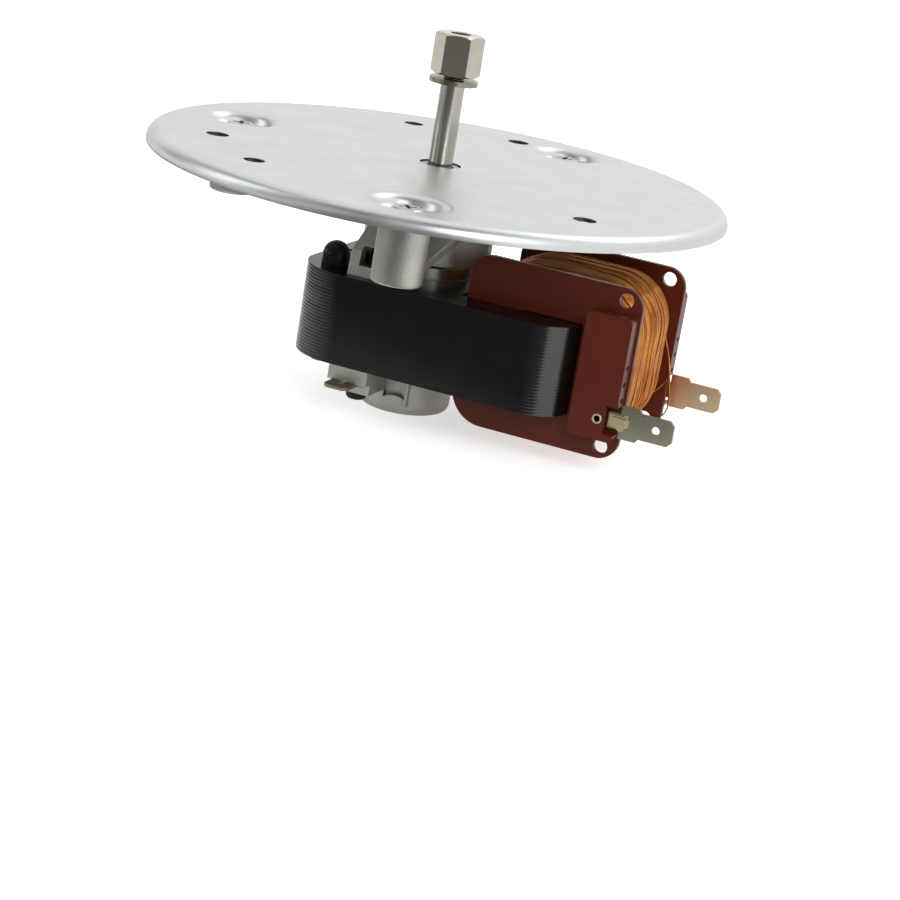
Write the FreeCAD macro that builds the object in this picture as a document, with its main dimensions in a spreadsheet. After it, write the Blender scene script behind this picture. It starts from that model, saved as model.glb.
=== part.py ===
# Oven fan motor: shaded-pole motor on a round pressed plate, shaft upwards.
# Frame: +Z along the shaft, origin on the shaft axis at the plate's top face,
# +X from the shaft towards the coil. Sizes are in millimetres.
import FreeCAD, Part
import math
import os
import Sketcher
from FreeCAD import Placement, Rotation, Vector

SIZES = {
    # Running and assembly clearances
    "air_gap": (0.3, "between rotor and stator bore"),
    "running_gap": (0.05, "radial, shaft in its bearings"),
    "seat_gap": (0.02, "radial, where one piece is pressed on another"),
    "fit_gap": (0.15, "between pieces that slide together when built"),
    "bolt_gap": (0.2, "radial, bolt in its hole"),
    # Mounting plate
    "plate_dia": (144, "mounting plate, outside"),
    "plate_thick": (1.0, "sheet of the mounting plate"),
    "rim_bend": (3.0, "outer radius of the turned-down rim"),
    "rim_drop": (3.4, "depth of the rim below the top face"),
    "shaft_opening": (10.3, "hole round the shaft"),
    "fixing_circle": (110, "circle of the fixing holes"),
    "fixing_hole": (5.6, "three even fixing holes"),
    "spare_hole": (5.1, "two further holes on the same circle"),
    "post_circle": (110, "circle of the three posts"),
    "post_spread": (105, "angle from the rear post to each side post"),
    "dimple_dia": (21, "pressed dimple at the top face"),
    "dimple_floor": (10.4, "flat floor of the dimple"),
    "dimple_depth": (3.4, "depth of the dimple"),
    # Plate screws
    "screw_dia": (4.0, "plate screw thread"),
    "screw_head": (8.0, "plate screw head"),
    "screw_head_tall": (2.3, "plate screw head, height"),
    "screw_long": (11, "plate screw, under the head"),
    "recess_wide": (4.2, "cross recess, tip to tip"),
    "recess_slot": (1.0, "cross recess, slot width"),
    "recess_deep": (1.2, "cross recess, depth"),
    # Shaft, washer and nut
    "shaft_dia": (6.0, "shaft"),
    "shaft_shoulder": (20.0, "shoulder above the plate"),
    "thread_dia": (5.0, "threaded end of the shaft"),
    "thread_long": (11.0, "threaded end, above the shoulder"),
    "washer_dia": (12.0, "washer"),
    "washer_thick": (1.2, "washer"),
    "nut_flats": (10.6, "hexagon nut across flats"),
    "nut_tall": (10.0, "hexagon nut"),
    "nut_lift": (0.9, "space between washer and nut, as the nut is left loose"),
    # Stator
    "stack_drop": (26.5, "top of the lamination stack below the plate's top face"),
    "stack_tall": (22.0, "lamination stack"),
    "stack_half": (28.0, "half width of the stack"),
    "stack_back": (24.0, "back end of the stack from the shaft axis"),
    "back_round": (14.2, "rounding of the stack's back corners"),
    "limb_end": (48.5, "end of the limbs from the shaft axis"),
    "limb_wide": (10.0, "width of each limb"),
    "limb_round": (9.6, "rounding of the limbs' outer ends"),
    "window_start": (17.4, "start of the window from the shaft axis"),
    "core_wide": (15.0, "width of the core inside the coil"),
    "rotor_dia": (25.0, "rotor"),
    "pole_slot": (2.0, "slot between the poles"),
    "slot_bridge": (2.6, "iron left between the pole slot and the outside"),
    # Copper shading rings in the poles
    "shade_bar": (1.4, "shading ring section"),
    "shade_wide": (6.6, "shading ring, outside width"),
    "shade_proud": (1.8, "shading ring above and below the stack"),
    "shade_radius": (14.6, "middle of a shading ring from the shaft axis"),
    "shade_angle": (20, "middle of a shading ring from the X axis, degrees"),
    # Bobbin and coil
    "bobbin_left": (19.0, "flange edge next to the rotor"),
    "bobbin_right": (62.5, "flange edge next to the terminals"),
    "flange_above": (11.2, "flange top edge above the stack"),
    "flange_below": (8.7, "flange bottom edge below the stack"),
    "flange_thick": (1.5, "bobbin flange"),
    "tube_wall": (1.3, "wall of the bobbin's tube"),
    "flange_round": (5.2, "corner rounding of the flanges"),
    "heel_round": (8.5, "rounding of the flange corner under the rotor"),
    "corner_hole": (3.6, "holes in the flange corners"),
    "corner_inset": (4.3, "flange corner holes from the outer edge"),
    "corner_drop": (3.0, "flange corner holes from the top and bottom edges"),
    "block_left": (50.6, "terminal block, edge next to the limb"),
    "block_right": (62.0, "terminal block, edge next to the terminals"),
    "block_deep": (4.6, "terminal block, in front of the flange"),
    "block_above": (5.1, "terminal block, top edge above the stack"),
    "block_below": (3.1, "terminal block, bottom edge below the stack"),
    "block_round": (1.6, "terminal block, corner rounding"),
    "root_room": (0.3, "round a terminal's root in its slot"),
    "eye_dia": (2.4, "moulded eye beside a terminal's root"),
    "eye_in": (2.0, "eye from the terminal's root"),
    "eye_floor": (1.0, "floor of the eye, in front of the flange"),
    "slit_wide": (1.6, "slits in a block's outer side, across"),
    "slit_tall": (1.1, "slits in a block's outer side, height"),
    "slit_deep": (1.2, "slits in a block's outer side, depth"),
    "slit_inset": (1.4, "slits from the block's face"),
    "slit_step": (4.0, "from one slit to the next"),
    "slit_rise": (4.4, "lowest slit above the terminal's middle"),
    "coil_side": (2.2, "from the flange edges to the winding"),
    "coil_crown": (1.5, "how far the winding swells at the middle"),
    "coil_round": (13.5, "corner rounding of the winding"),
    "lead_dia": (0.5, "lead wires"),
    "lead_apart": (9.0, "upper ends of the leads from the centre line"),
    "lead_tall": (16.0, "upper ends of the leads above the terminals' middle"),
    "lead_reach": (5.7, "lower ends of the leads from the terminals' roots"),
    "lead_over": (1.4, "lower ends of the leads above the terminals' middle"),
    "lead_bow": (0.5, "how far a lead bows outwards"),
    # Terminals
    "tab_wide": (6.3, "blade width"),
    "tab_thick": (0.8, "blade thickness"),
    "tab_out": (13.3, "tips of the coil terminals beyond the flanges"),
    "tab_lift": (2.1, "middle of the coil terminals above the stack's underside"),
    "tab_hole": (2.0, "hole in a blade"),
    "tab_hole_in": (4.3, "blade hole from the tip"),
    "tab_shoulder": (8.2, "width across the shoulders"),
    "tab_in": (2.5, "root of a coil terminal inside its block"),
    "tab_neck": (4.0, "width of a coil terminal's root"),
    "tab_floor": (1.4, "block under a coil terminal's root"),
    "tab_clear": (0.6, "from the block to a coil terminal's shoulders"),
    "tab_collar": (4.4, "length of the shoulders"),
    "tab_flare": (0.6, "slope from the shoulders to the blade"),
    "tab_bevel": (1.1, "bevels at a blade's tip"),
    "earth_reach": (29.2, "tip of the earth terminal from the centre line"),
    "earth_shift": (1.7, "middle of the earth blade beside its bolt"),
    "earth_root": (2.9, "earth terminal round its bolt"),
    "earth_narrow": (7.0, "plain part of the earth blade"),
    # Brackets
    "hub_dia": (32, "hub of the upper bracket"),
    "hub_tall": (10.3, "hub, height"),
    "hub_lift": (4.2, "hub above the stack"),
    "nose_dia": (9.7, "nose that passes up into the plate's hole"),
    "nose_top": (0.4, "nose top below the plate's top face"),
    "post_dia": (12.0, "posts"),
    "post_lift": (7.7, "lower ends of the posts above the stack"),
    "post_edge": (0.8, "rounding of a post's lower edge"),
    "thread_spare": (1.0, "thread hole beyond the plate screw"),
    "arm_wide": (18.0, "arms of the upper bracket, at the hub"),
    "arm_narrow": (11.0, "arms, at the posts"),
    "arm_drop": (1.6, "arms below the hub's top"),
    "arm_thick": (2.2, "arms, thickness"),
    "arm_root": (3.0, "arms, into the hub"),
    "rib_wide": (3.0, "rib under an arm"),
    "rib_lift": (1.3, "rib's underside above the post's lower end"),
    "rib_root": (0.2, "rib under a side arm, at the hub"),
    "back_rib_root": (2.6, "rib under the back arm, at the hub"),
    "bolt_x": (-5.3, "bracket bolts along X"),
    "bolt_y": (18.6, "bracket bolts from the centre line"),
    "foot_left": (9.6, "far edge of the upper feet along X"),
    "foot_wide": (8.4, "upper feet along X"),
    "foot_leg": (2.5, "leg of a foot beside the nut's opening"),
    "foot_top": (6.2, "front edge of an upper foot above the stack"),
    "foot_lean": (1.0, "slope of an upper foot's outer face"),
    "low_foot_left": (11.3, "far edge of the lower feet along X"),
    "low_foot_wide": (10.3, "lower feet along X"),
    "foot_outer": (25.4, "outer face of the feet from the centre line"),
    "foot_inner": (13.8, "inner face of the feet from the centre line"),
    "foot_pad": (2.7, "thickness of the foot under the nut"),
    "foot_window": (4.5, "height of the opening over the nut"),
    "cup_dia": (23.4, "cup of the lower bracket"),
    "cup_tall": (13.5, "cup, below the stack"),
    "cup_floor": (1.5, "floor of the cup"),
    "bar_tall": (4.8, "bar of the lower bracket"),
    "spine_left": (7.9, "spine under the bar, far edge along X"),
    "spine_right": (1.0, "spine under the bar, near edge along X"),
    "spine_end": (21.4, "ends of the spine from the centre line"),
    "spine_tall": (2.8, "spine below the bar"),
    "niche_face": (10.1, "flat face in the cup's side from the centre line"),
    "niche_right": (4.8, "flat face, edge along X"),
    "niche_tall": (9.4, "flat face, below the stack"),
    "niche_arch": (4.6, "arch at the flat face's lower edge"),
    "cup_rib": (0.7, "upright rib beside the flat face"),
    "cup_rib_reach": (12.0, "upright rib, from the centre line"),
    "cup_rib_tall": (10.8, "upright rib, below the stack"),
    "bolt_dia": (3.0, "bracket bolts"),
    "bolt_head": (5.2, "bracket bolt heads"),
    "bolt_head_tall": (2.0, "bracket bolt heads"),
    "bolt_head_edge": (1.1, "rounding of the bolt heads"),
    "bolt_nut": (5.5, "bracket nuts across flats"),
    "bolt_nut_tall": (2.4, "bracket nuts"),
    "bolt_spare": (1.6, "bolt beyond its nut"),
    "rivet_x": (-15.4, "stack rivets along X"),
    "rivet_y": (19.8, "stack rivets from the centre line"),
    "rivet_dia": (3.2, "stack rivet shank"),
    "rivet_dome": (6.8, "domed end of a stack rivet"),
    "rivet_tall": (6.3, "domed end, height"),
    "rivet_foot": (1.6, "lower end of a rivet, height"),
    "cup_edge": (2.2, "rounding of the cup's lower edge"),
    "low_inset": (1.4, "lower foot set back from the upper foot"),
    "shaft_room": (0.4, "radial, shaft in the brackets' holes"),
    "shaft_rise": (0.3, "shaft's lower end above the cup's floor"),
    "shaft_chamfer": (0.5, "chamfers at the shaft's ends"),
    "nut_land": (0.1, "flat ring left inside a nut's chamfer"),
    "nut_turn": (-13.3, "turn of the loose nut, degrees"),
    "cap_tongues": (6, "slits in a spring cap"),
    "cap_slit": (1.2, "width of a slit"),
    "cap_rim": (1.6, "rim left outside the slits"),
    # Bearings
    "ball_dia": (11.0, "spherical outside of the bearings"),
    "ball_tall": (8.0, "height of the bearings"),
    "ball_lift": (0.6, "space behind each bearing"),
    "felt_dia": (17.0, "felt ring round the upper bearing"),
    "felt_tall": (2.6, "felt ring"),
    "cap_hole": (8.6, "hole of a spring cap, on the bearing's ball"),
    "cap_thick": (0.5, "spring cap"),
    "thrust_dia": (10.0, "thrust washers"),
    "thrust_thick": (0.6, "thrust washers"),
    "thrust_gap": (0.1, "between a bearing and its thrust washer"),
    # Rotor
    "ring_dia": (24.0, "end rings of the cage"),
    "ring_tall": (2.8, "upper end ring of the cage"),
    "low_ring_tall": (2.0, "lower end ring of the cage"),
    "low_ring_dia": (19.8, "lower end ring, inside the lower bracket"),
    "ring_bore": (12.0, "bore of the end rings"),
    "ring_room": (0.5, "round and under the lower end ring"),
    "bar_dia": (2.2, "cage bars"),
    "bar_circle": (17.2, "circle of the cage bars"),
    "bar_count": (14, "number of cage bars"),
}

doc = FreeCAD.newDocument("oven_fan_motor")
sheet = doc.addObject("Spreadsheet::Sheet", "sizes")
for row, (alias, (amount, note)) in enumerate(SIZES.items(), start=1):
    sheet.set(f"A{row}", str(amount))
    sheet.set(f"B{row}", note)
    sheet.setAlias(f"A{row}", alias)
doc.recompute()


def value(rule):
    """The number that a rule over the sheet's names comes to."""
    found = sheet.evalExpression(rule)
    return float(getattr(found, "Value", found))


def bind(thing, prop, rule):
    thing.setExpression(prop, rule)


def new_body(label):
    body = doc.addObject("PartDesign::Body", label)
    body.Label = label
    return body


def plane(body, role):
    return next(f for f in body.Origin.OriginFeatures if f.Role == role)


def sketch_on(body, role, name, at=("0", "0", "0"), turn=0.0):
    """A sketch on one of the body's own planes, moved by rules and turned about the vertical."""
    sketch = body.newObject("Sketcher::SketchObject", name)
    sketch.AttachmentSupport = [(plane(body, role), "")]
    sketch.MapMode = "FlatFace"
    spin_axis = Vector(0, 0, 1) if role == "XY_Plane" else Vector(0, 1, 0)
    sketch.AttachmentOffset = Placement(Vector(*[value(r) for r in at]), Rotation(spin_axis, turn))
    for axis, rule in zip("xyz", at):
        if rule != "0":
            bind(sketch, f"AttachmentOffset.Base.{axis}", rule)
    return sketch


def pin_point(sketch, geometry, end, x_rule, y_rule):
    """Hold one point of a sketch at two rules."""
    for kind, rule in (("DistanceX", x_rule), ("DistanceY", y_rule)):
        index = sketch.addConstraint(Sketcher.Constraint(kind, -1, 1, geometry, end, value(rule)))
        sketch.setExpression(f"Constraints[{index}]", rule)


def circle(sketch, dia_rule, x_rule="0", y_rule="0"):
    centre = Vector(value(x_rule), value(y_rule), 0)
    geometry = sketch.addGeometry(Part.Circle(centre, Vector(0, 0, 1), value(dia_rule) / 2), False)
    pin_point(sketch, geometry, 3, x_rule, y_rule)
    index = sketch.addConstraint(Sketcher.Constraint("Diameter", geometry, value(dia_rule)))
    sketch.setExpression(f"Constraints[{index}]", dia_rule)


def outline(sketch, corners):
    """A closed outline. A corner is (x, y), or (x, y, radius, side) where an arc leads to it:
    side is 1 where the arc bulges to the left of the way along it, and -1 to the right."""
    spots = [Vector(value(c[0]), value(c[1]), 0) for c in corners]
    geometries = []
    for number, corner in enumerate(corners):
        start, end = spots[number - 1], spots[number]
        if len(corner) == 2:
            geometries.append(sketch.addGeometry(Part.LineSegment(start, end), False))
            continue
        radius = value(corner[2])
        chord = end - start
        left = Vector(-chord.y, chord.x, 0).normalize() * corner[3]
        sag = radius - math.sqrt(max(radius**2 - (chord.Length / 2) ** 2, 0))
        middle = (start + end) * 0.5 + left * sag
        first, last = (end, start) if corner[3] > 0 else (start, end)
        geometries.append(sketch.addGeometry(Part.Arc(first, middle, last), False))
    ends = []
    for number, geometry in enumerate(geometries):
        shape = sketch.Geometry[geometry]
        forward = (shape.EndPoint - spots[number]).Length < (shape.StartPoint - spots[number]).Length
        ends.append((1, 2) if forward else (2, 1))
    for number, geometry in enumerate(geometries):
        before = geometries[number - 1]
        sketch.addConstraint(
            Sketcher.Constraint("Coincident", before, ends[number - 1][1], geometry, ends[number][0])
        )
        pin_point(sketch, geometry, ends[number][1], corners[number][0], corners[number][1])
        if len(corners[number]) > 2:
            rule = corners[number][2]
            index = sketch.addConstraint(Sketcher.Constraint("Radius", geometry, value(rule)))
            sketch.setExpression(f"Constraints[{index}]", rule)


def box_outline(sketch, left, right, low, high):
    outline(sketch, [(left, low), (right, low), (right, high), (left, high)])


def pad(body, sketch, length, reverse=False, both=False):
    feature = body.newObject("PartDesign::Pad", f"Pad_{sketch.Name}")
    feature.Profile = sketch
    feature.Length = value(length)
    bind(feature, "Length", length)
    feature.Reversed = reverse
    feature.Midplane = both
    doc.recompute()
    return feature


def pocket(body, sketch, length=None, reverse=False, both=False):
    before = body.Shape.Volume
    feature = body.newObject("PartDesign::Pocket", f"Pocket_{sketch.Name}")
    feature.Profile = sketch
    if length is None:
        feature.Type = "ThroughAll"
    else:
        feature.Length = value(length)
        bind(feature, "Length", length)
    feature.Reversed = reverse
    feature.Midplane = both
    doc.recompute()
    if body.Shape.Volume >= before - 1e-6:
        raise RuntimeError(f"{body.Label}: {sketch.Name} cut nothing")
    return feature


def revolve(body, sketch, cut=False):
    before = body.Shape.Volume if cut else 0
    kind = "Groove" if cut else "Revolution"
    feature = body.newObject(f"PartDesign::{kind}", f"{kind}_{sketch.Name}")
    feature.Profile = sketch
    feature.ReferenceAxis = (sketch, ["V_Axis"])
    feature.Angle = 360
    doc.recompute()
    if cut and body.Shape.Volume >= before - 1e-6:
        raise RuntimeError(f"{body.Label}: {sketch.Name} cut nothing")
    return feature


def polar(body, features, count_rule, angle=360):
    pattern = body.newObject("PartDesign::PolarPattern", f"Pattern_{features[0].Name}")
    pattern.Originals = features
    pattern.Axis = (next(f for f in body.Origin.OriginFeatures if f.Role == "Z_Axis"), [""])
    pattern.Angle = angle
    pattern.Occurrences = round(value(count_rule))
    bind(pattern, "Occurrences", count_rule)
    body.Tip = pattern
    doc.recompute()
    return pattern


def mirror(body, features):
    """The same features again on the other side of the XZ plane."""
    pattern = body.newObject("PartDesign::Mirrored", f"Mirror_{features[0].Name}")
    pattern.Originals = features
    pattern.MirrorPlane = (plane(body, "XZ_Plane"), [""])
    body.Tip = pattern
    doc.recompute()
    return pattern


def round_edges(body, kind, size_rule, wanted):
    """Fillet or chamfer the edges of the body that the test picks."""
    names = [f"Edge{n}" for n, e in enumerate(body.Shape.Edges, start=1) if wanted(e)]
    if not names:
        raise RuntimeError(f"{body.Label}: no edge to round")
    base = body.Tip
    feature = body.newObject(f"PartDesign::{kind}", f"{kind}_{body.Name}")
    feature.Base = (base, names)
    prop = "Radius" if kind == "Fillet" else "Size"
    setattr(feature, prop, value(size_rule))
    bind(feature, prop, size_rule)
    doc.recompute()
    return feature


def solid(label, shape):
    """A piece whose shape comes straight from the sheet's values."""
    feature = doc.addObject("Part::Feature", label)
    feature.Label = label
    feature.Shape = shape
    return feature


def turned(label, corners):
    """A piece turned about the shaft axis from its half section."""
    body = new_body(label)
    sketch = sketch_on(body, "XZ_Plane", f"{label}_section")
    outline(sketch, corners)
    revolve(body, sketch)
    return body


# Places that several pieces share
STACK_TOP = "-sizes.stack_drop"
STACK_LOW = "-(sizes.stack_drop + sizes.stack_tall)"
BOBBIN_TOP = f"({STACK_TOP} + sizes.flange_above)"
BOBBIN_LOW = f"({STACK_LOW} - sizes.flange_below)"
HUB_LOW = f"({STACK_TOP} + sizes.hub_lift)"
HUB_TOP = f"({HUB_LOW} + sizes.hub_tall)"
POST_LOW = f"({STACK_TOP} + sizes.post_lift)"
BAR_LOW = f"({STACK_LOW} - sizes.bar_tall)"
SPINE_LOW = f"({BAR_LOW} - sizes.spine_tall)"
CUP_LOW = f"({STACK_LOW} - sizes.cup_tall)"
UPPER_BALL = f"({HUB_TOP} - 2 * sizes.ball_lift - sizes.ball_tall / 2)"
LOWER_BALL = f"({CUP_LOW} + sizes.cup_floor + sizes.ball_lift + sizes.ball_tall / 2)"
CAP_PLACE = "((sizes.ball_dia ^ 2 - sizes.cap_hole ^ 2) ^ 0.5 / 2 + sizes.seat_gap)"
FLANGE_FACE = "(sizes.stack_half - sizes.limb_wide - sizes.fit_gap)"
TAB_MID = f"({STACK_LOW} + sizes.tab_lift)"
TAB_ROOT = "(sizes.block_right - sizes.tab_in)"
TAB_TIP = "(sizes.bobbin_right + sizes.tab_out)"
WINDOW_HALF = "(sizes.stack_half - sizes.limb_wide)"
CORE_LEFT = "(sizes.limb_end - sizes.core_wide)"
POST_ANGLES = {
    "back": 180.0,
    "rear_side": 180.0 - value("sizes.post_spread"),
    "front_side": 180.0 + value("sizes.post_spread"),
}


def on_circle(dia_rule, angle):
    """Sketch-plane rules for a place on a circle about the shaft axis."""
    return (
        f"{dia_rule} / 2 * {math.cos(math.radians(angle)):.9f}",
        f"{dia_rule} / 2 * {math.sin(math.radians(angle)):.9f}",
    )


def mounting_plate():
    body = new_body("mounting_plate")
    sketch = sketch_on(body, "XZ_Plane", "plate_section")
    edge = "sizes.plate_dia / 2"
    outline(sketch, [
        ("sizes.shaft_opening / 2", "0"),
        (f"{edge} - sizes.rim_bend", "0"),
        (edge, "-sizes.rim_bend", "sizes.rim_bend", 1),
        (edge, "-sizes.rim_drop"),
        (f"{edge} - sizes.plate_thick", "-sizes.rim_drop"),
        (f"{edge} - sizes.plate_thick", "-sizes.rim_bend"),
        (f"{edge} - sizes.rim_bend", "-sizes.plate_thick", "sizes.rim_bend - sizes.plate_thick", -1),
        ("sizes.shaft_opening / 2", "-sizes.plate_thick"),
    ])
    revolve(body, sketch)
    # Three pressed dimples, each with a clearance hole for its screw
    half_run = "(sizes.dimple_dia - sizes.dimple_floor) / 4"
    bend = (
        "(((sizes.dimple_dia - sizes.dimple_floor) / 2) ^ 2 + sizes.dimple_depth ^ 2)"
        " / (4 * sizes.dimple_depth)"
    )
    for place, angle in POST_ANGLES.items():
        x_rule, y_rule = on_circle("sizes.post_circle", angle)
        opening = sketch_on(body, "XY_Plane", f"dimple_{place}")
        circle(opening, "sizes.dimple_dia", x_rule, y_rule)
        pocket(body, opening)
        dish = sketch_on(body, "XZ_Plane", f"dish_{place}", at=(x_rule, "0", f"-({y_rule})"))
        hole = "sizes.screw_dia / 2 + sizes.bolt_gap"
        floor = "sizes.dimple_floor / 2"
        lip = "sizes.dimple_dia / 2"
        middle = f"{floor} + {half_run}"
        outline(dish, [
            (hole, "-sizes.dimple_depth"),
            (floor, "-sizes.dimple_depth"),
            (middle, "-sizes.dimple_depth / 2", bend, -1),
            (lip, "0", bend, 1),
            (lip, "-sizes.plate_thick"),
            (middle, "-sizes.dimple_depth / 2 - sizes.plate_thick", bend, -1),
            (floor, "-sizes.dimple_depth - sizes.plate_thick", bend, 1),
            (hole, "-sizes.dimple_depth - sizes.plate_thick"),
        ])
        revolve(body, dish)
    # Fixing holes: three at 120 degrees, and two more between them
    for first, count, hole in ((90.0, 3, "sizes.fixing_hole"), (120.0, 2, "sizes.spare_hole")):
        x_rule, y_rule = on_circle("sizes.fixing_circle", first)
        sketch = sketch_on(body, "XY_Plane", f"fixing_{count}")
        circle(sketch, hole, x_rule, y_rule)
        cut = pocket(body, sketch)
        pattern = body.newObject("PartDesign::PolarPattern", f"Pattern_fixing_{count}")
        pattern.Originals = [cut]
        pattern.Axis = (next(f for f in body.Origin.OriginFeatures if f.Role == "Z_Axis"), [""])
        pattern.Angle = 360 if count == 3 else 120
        pattern.Occurrences = count
        body.Tip = pattern
        doc.recompute()
    return body


def plate_screws():
    """Three pan head screws, each with a cross recess, down into the posts."""
    head_low = -value("sizes.dimple_depth")
    head_r = value("sizes.screw_head / 2")
    tall = value("sizes.screw_head_tall")
    shank_r = value("sizes.screw_dia / 2")
    long = value("sizes.screw_long")
    wide, slot, deep = value("sizes.recess_wide"), value("sizes.recess_slot"), value("sizes.recess_deep")
    shoulder = tall * 0.45
    crown_r = head_r * 0.62
    section = Part.Wire([
        Part.LineSegment(Vector(0, 0, head_low - long), Vector(shank_r * 0.6, 0, head_low - long)).toShape(),
        Part.LineSegment(Vector(shank_r * 0.6, 0, head_low - long),
                         Vector(shank_r, 0, head_low - long + shank_r * 0.6)).toShape(),
        Part.LineSegment(Vector(shank_r, 0, head_low - long + shank_r * 0.6),
                         Vector(shank_r, 0, head_low)).toShape(),
        Part.LineSegment(Vector(shank_r, 0, head_low), Vector(head_r, 0, head_low)).toShape(),
        Part.LineSegment(Vector(head_r, 0, head_low), Vector(head_r, 0, head_low + shoulder)).toShape(),
        Part.Arc(Vector(head_r, 0, head_low + shoulder),
                 Vector(head_r * 0.9, 0, head_low + tall * 0.85),
                 Vector(crown_r, 0, head_low + tall)).toShape(),
        Part.LineSegment(Vector(crown_r, 0, head_low + tall), Vector(0, 0, head_low + tall)).toShape(),
        Part.LineSegment(Vector(0, 0, head_low + tall), Vector(0, 0, head_low - long)).toShape(),
    ])
    screw = Part.Face(section).revolve(Vector(0, 0, 0), Vector(0, 0, 1), 360)
    for spin in (0, 90):
        bar = Part.makeBox(wide, slot, deep * 2, Vector(-wide / 2, -slot / 2, head_low + tall - deep))
        bar.rotate(Vector(0, 0, 0), Vector(0, 0, 1), spin + 20)
        screw = screw.cut(bar)
    group = []
    for angle in POST_ANGLES.values():
        radius = value("sizes.post_circle / 2")
        copy = screw.copy()
        copy.rotate(Vector(0, 0, 0), Vector(0, 0, 1), angle)
        copy.translate(Vector(radius * math.cos(math.radians(angle)),
                              radius * math.sin(math.radians(angle)), 0))
        group.append(copy)
    return solid("plate_screws", Part.makeCompound(group))


def bearing_seat(body, name, centre, deep, up):
    """Cut a spherical seat for a bearing, and the wider felt space that it goes in by."""
    ball = body.newObject("PartDesign::SubtractiveSphere", f"{name}_ball")
    ball.Radius = value("sizes.ball_dia / 2 + sizes.seat_gap")
    bind(ball, "Radius", "sizes.ball_dia / 2 + sizes.seat_gap")
    ball.AttachmentSupport = [(plane(body, "XY_Plane"), "")]
    ball.MapMode = "FlatFace"
    ball.AttachmentOffset = Placement(Vector(0, 0, value(centre)), Rotation())
    bind(ball, "AttachmentOffset.Base.z", centre)
    doc.recompute()
    space = sketch_on(body, "XY_Plane", f"{name}_felt_space", at=("0", "0", centre))
    circle(space, "sizes.felt_dia + 2 * sizes.fit_gap")
    pocket(body, space, deep, reverse=not up)


def upper_bracket():
    """Casting with a hub for the upper bearing, three arms with posts and two feet on the stack."""
    body = new_body("upper_bracket")
    sketch = sketch_on(body, "XY_Plane", "hub", at=("0", "0", HUB_TOP))
    circle(sketch, "sizes.hub_dia")
    pad(body, sketch, "sizes.hub_tall", reverse=True)
    sketch = sketch_on(body, "XY_Plane", "nose", at=("0", "0", HUB_TOP))
    circle(sketch, "sizes.nose_dia")
    pad(body, sketch, f"-sizes.nose_top - {HUB_TOP}")
    # Each arm is a plate that widens to the hub, with a rib under it and a post at its end
    reach = "sizes.post_circle / 2"
    inside = "(sizes.hub_dia / 2 - sizes.arm_root)"
    arm_top = f"({HUB_TOP} - sizes.arm_drop)"
    arm_mid = f"({arm_top} - sizes.arm_thick / 2)"
    post_top = "(-(sizes.dimple_depth + sizes.plate_thick))"
    for place, angle in POST_ANGLES.items():
        arm = sketch_on(body, "XY_Plane", f"arm_{place}", at=("0", "0", arm_top), turn=angle)
        outline(arm, [
            (inside, "-sizes.arm_wide / 2"),
            (reach, "-sizes.arm_narrow / 2"),
            (reach, "sizes.arm_narrow / 2"),
            (inside, "sizes.arm_wide / 2"),
        ])
        pad(body, arm, "sizes.arm_thick", reverse=True)
        root = "sizes.back_rib_root" if place == "back" else "sizes.rib_root"
        rib = sketch_on(body, "XZ_Plane", f"rib_{place}", turn=angle)
        outline(rib, [
            (inside, arm_mid),
            (reach, arm_mid),
            (reach, f"{POST_LOW} + sizes.rib_lift"),
            (inside, f"{arm_top} - sizes.arm_thick - {root}"),
        ])
        pad(body, rib, "sizes.rib_wide", both=True)
        post = sketch_on(body, "XY_Plane", f"post_{place}", at=("0", "0", post_top))
        circle(post, "sizes.post_dia", *on_circle("sizes.post_circle", angle))
        pad(body, post, f"{post_top} - {POST_LOW}", reverse=True)
    round_edges(body, "Fillet", "sizes.post_edge", rims_at(POST_LOW))
    for place, angle in POST_ANGLES.items():
        thread = sketch_on(body, "XY_Plane", f"thread_{place}", at=("0", "0", post_top))
        circle(thread, "sizes.screw_dia + 2 * sizes.seat_gap", *on_circle("sizes.post_circle", angle))
        pocket(body, thread, "sizes.screw_long + sizes.thread_spare")
    # Two feet on the stack, each open to the side over its nut
    foot = sketch_on(body, "YZ_Plane", "foot_front", at=("0", "0", "sizes.foot_wide / 2 - sizes.foot_left"))
    outline(foot, [
        ("-sizes.foot_outer", STACK_TOP),
        ("-sizes.foot_inner", STACK_TOP),
        ("-sizes.foot_inner", arm_top),
        ("-(sizes.foot_outer - sizes.foot_lean)", f"{STACK_TOP} + sizes.foot_top"),
    ])
    step = pad(body, foot, "sizes.foot_wide", both=True)
    window = sketch_on(body, "XZ_Plane", "nut_window", at=("0", "0", "sizes.foot_inner"))
    low = f"({STACK_TOP} + sizes.foot_pad)"
    box_outline(window, "sizes.foot_leg - sizes.foot_left", "2 * sizes.foot_wide - sizes.foot_left",
                low, f"{low} + sizes.foot_window")
    opening = pocket(body, window, "sizes.foot_outer", reverse=True)
    room = sketch_on(body, "XY_Plane", "nut_room", at=("0", "0", low))
    corners = f"sizes.bolt_nut * {2 / math.sqrt(3):.9f}"
    circle(room, f"{corners} + 2 * sizes.fit_gap", "sizes.bolt_x", "-sizes.bolt_y")
    around = pocket(body, room, "sizes.foot_window", reverse=True)
    mirror(body, [step, opening, around])
    bolts = sketch_on(body, "XY_Plane", "bolt_holes", at=("0", "0", STACK_TOP))
    for side in ("", "-"):
        circle(bolts, "sizes.bolt_dia + 2 * sizes.bolt_gap", "sizes.bolt_x", f"{side}sizes.bolt_y")
    pocket(body, bolts, "sizes.foot_pad + sizes.foot_window / 2", reverse=True)
    # Inside: spherical seat, felt space and the hole that the shaft runs through
    bore = sketch_on(body, "XY_Plane", "shaft_hole")
    circle(bore, "sizes.shaft_dia + 2 * sizes.shaft_room")
    pocket(body, bore)
    bearing_seat(body, "seat", UPPER_BALL, "sizes.hub_tall", True)
    return body


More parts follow.
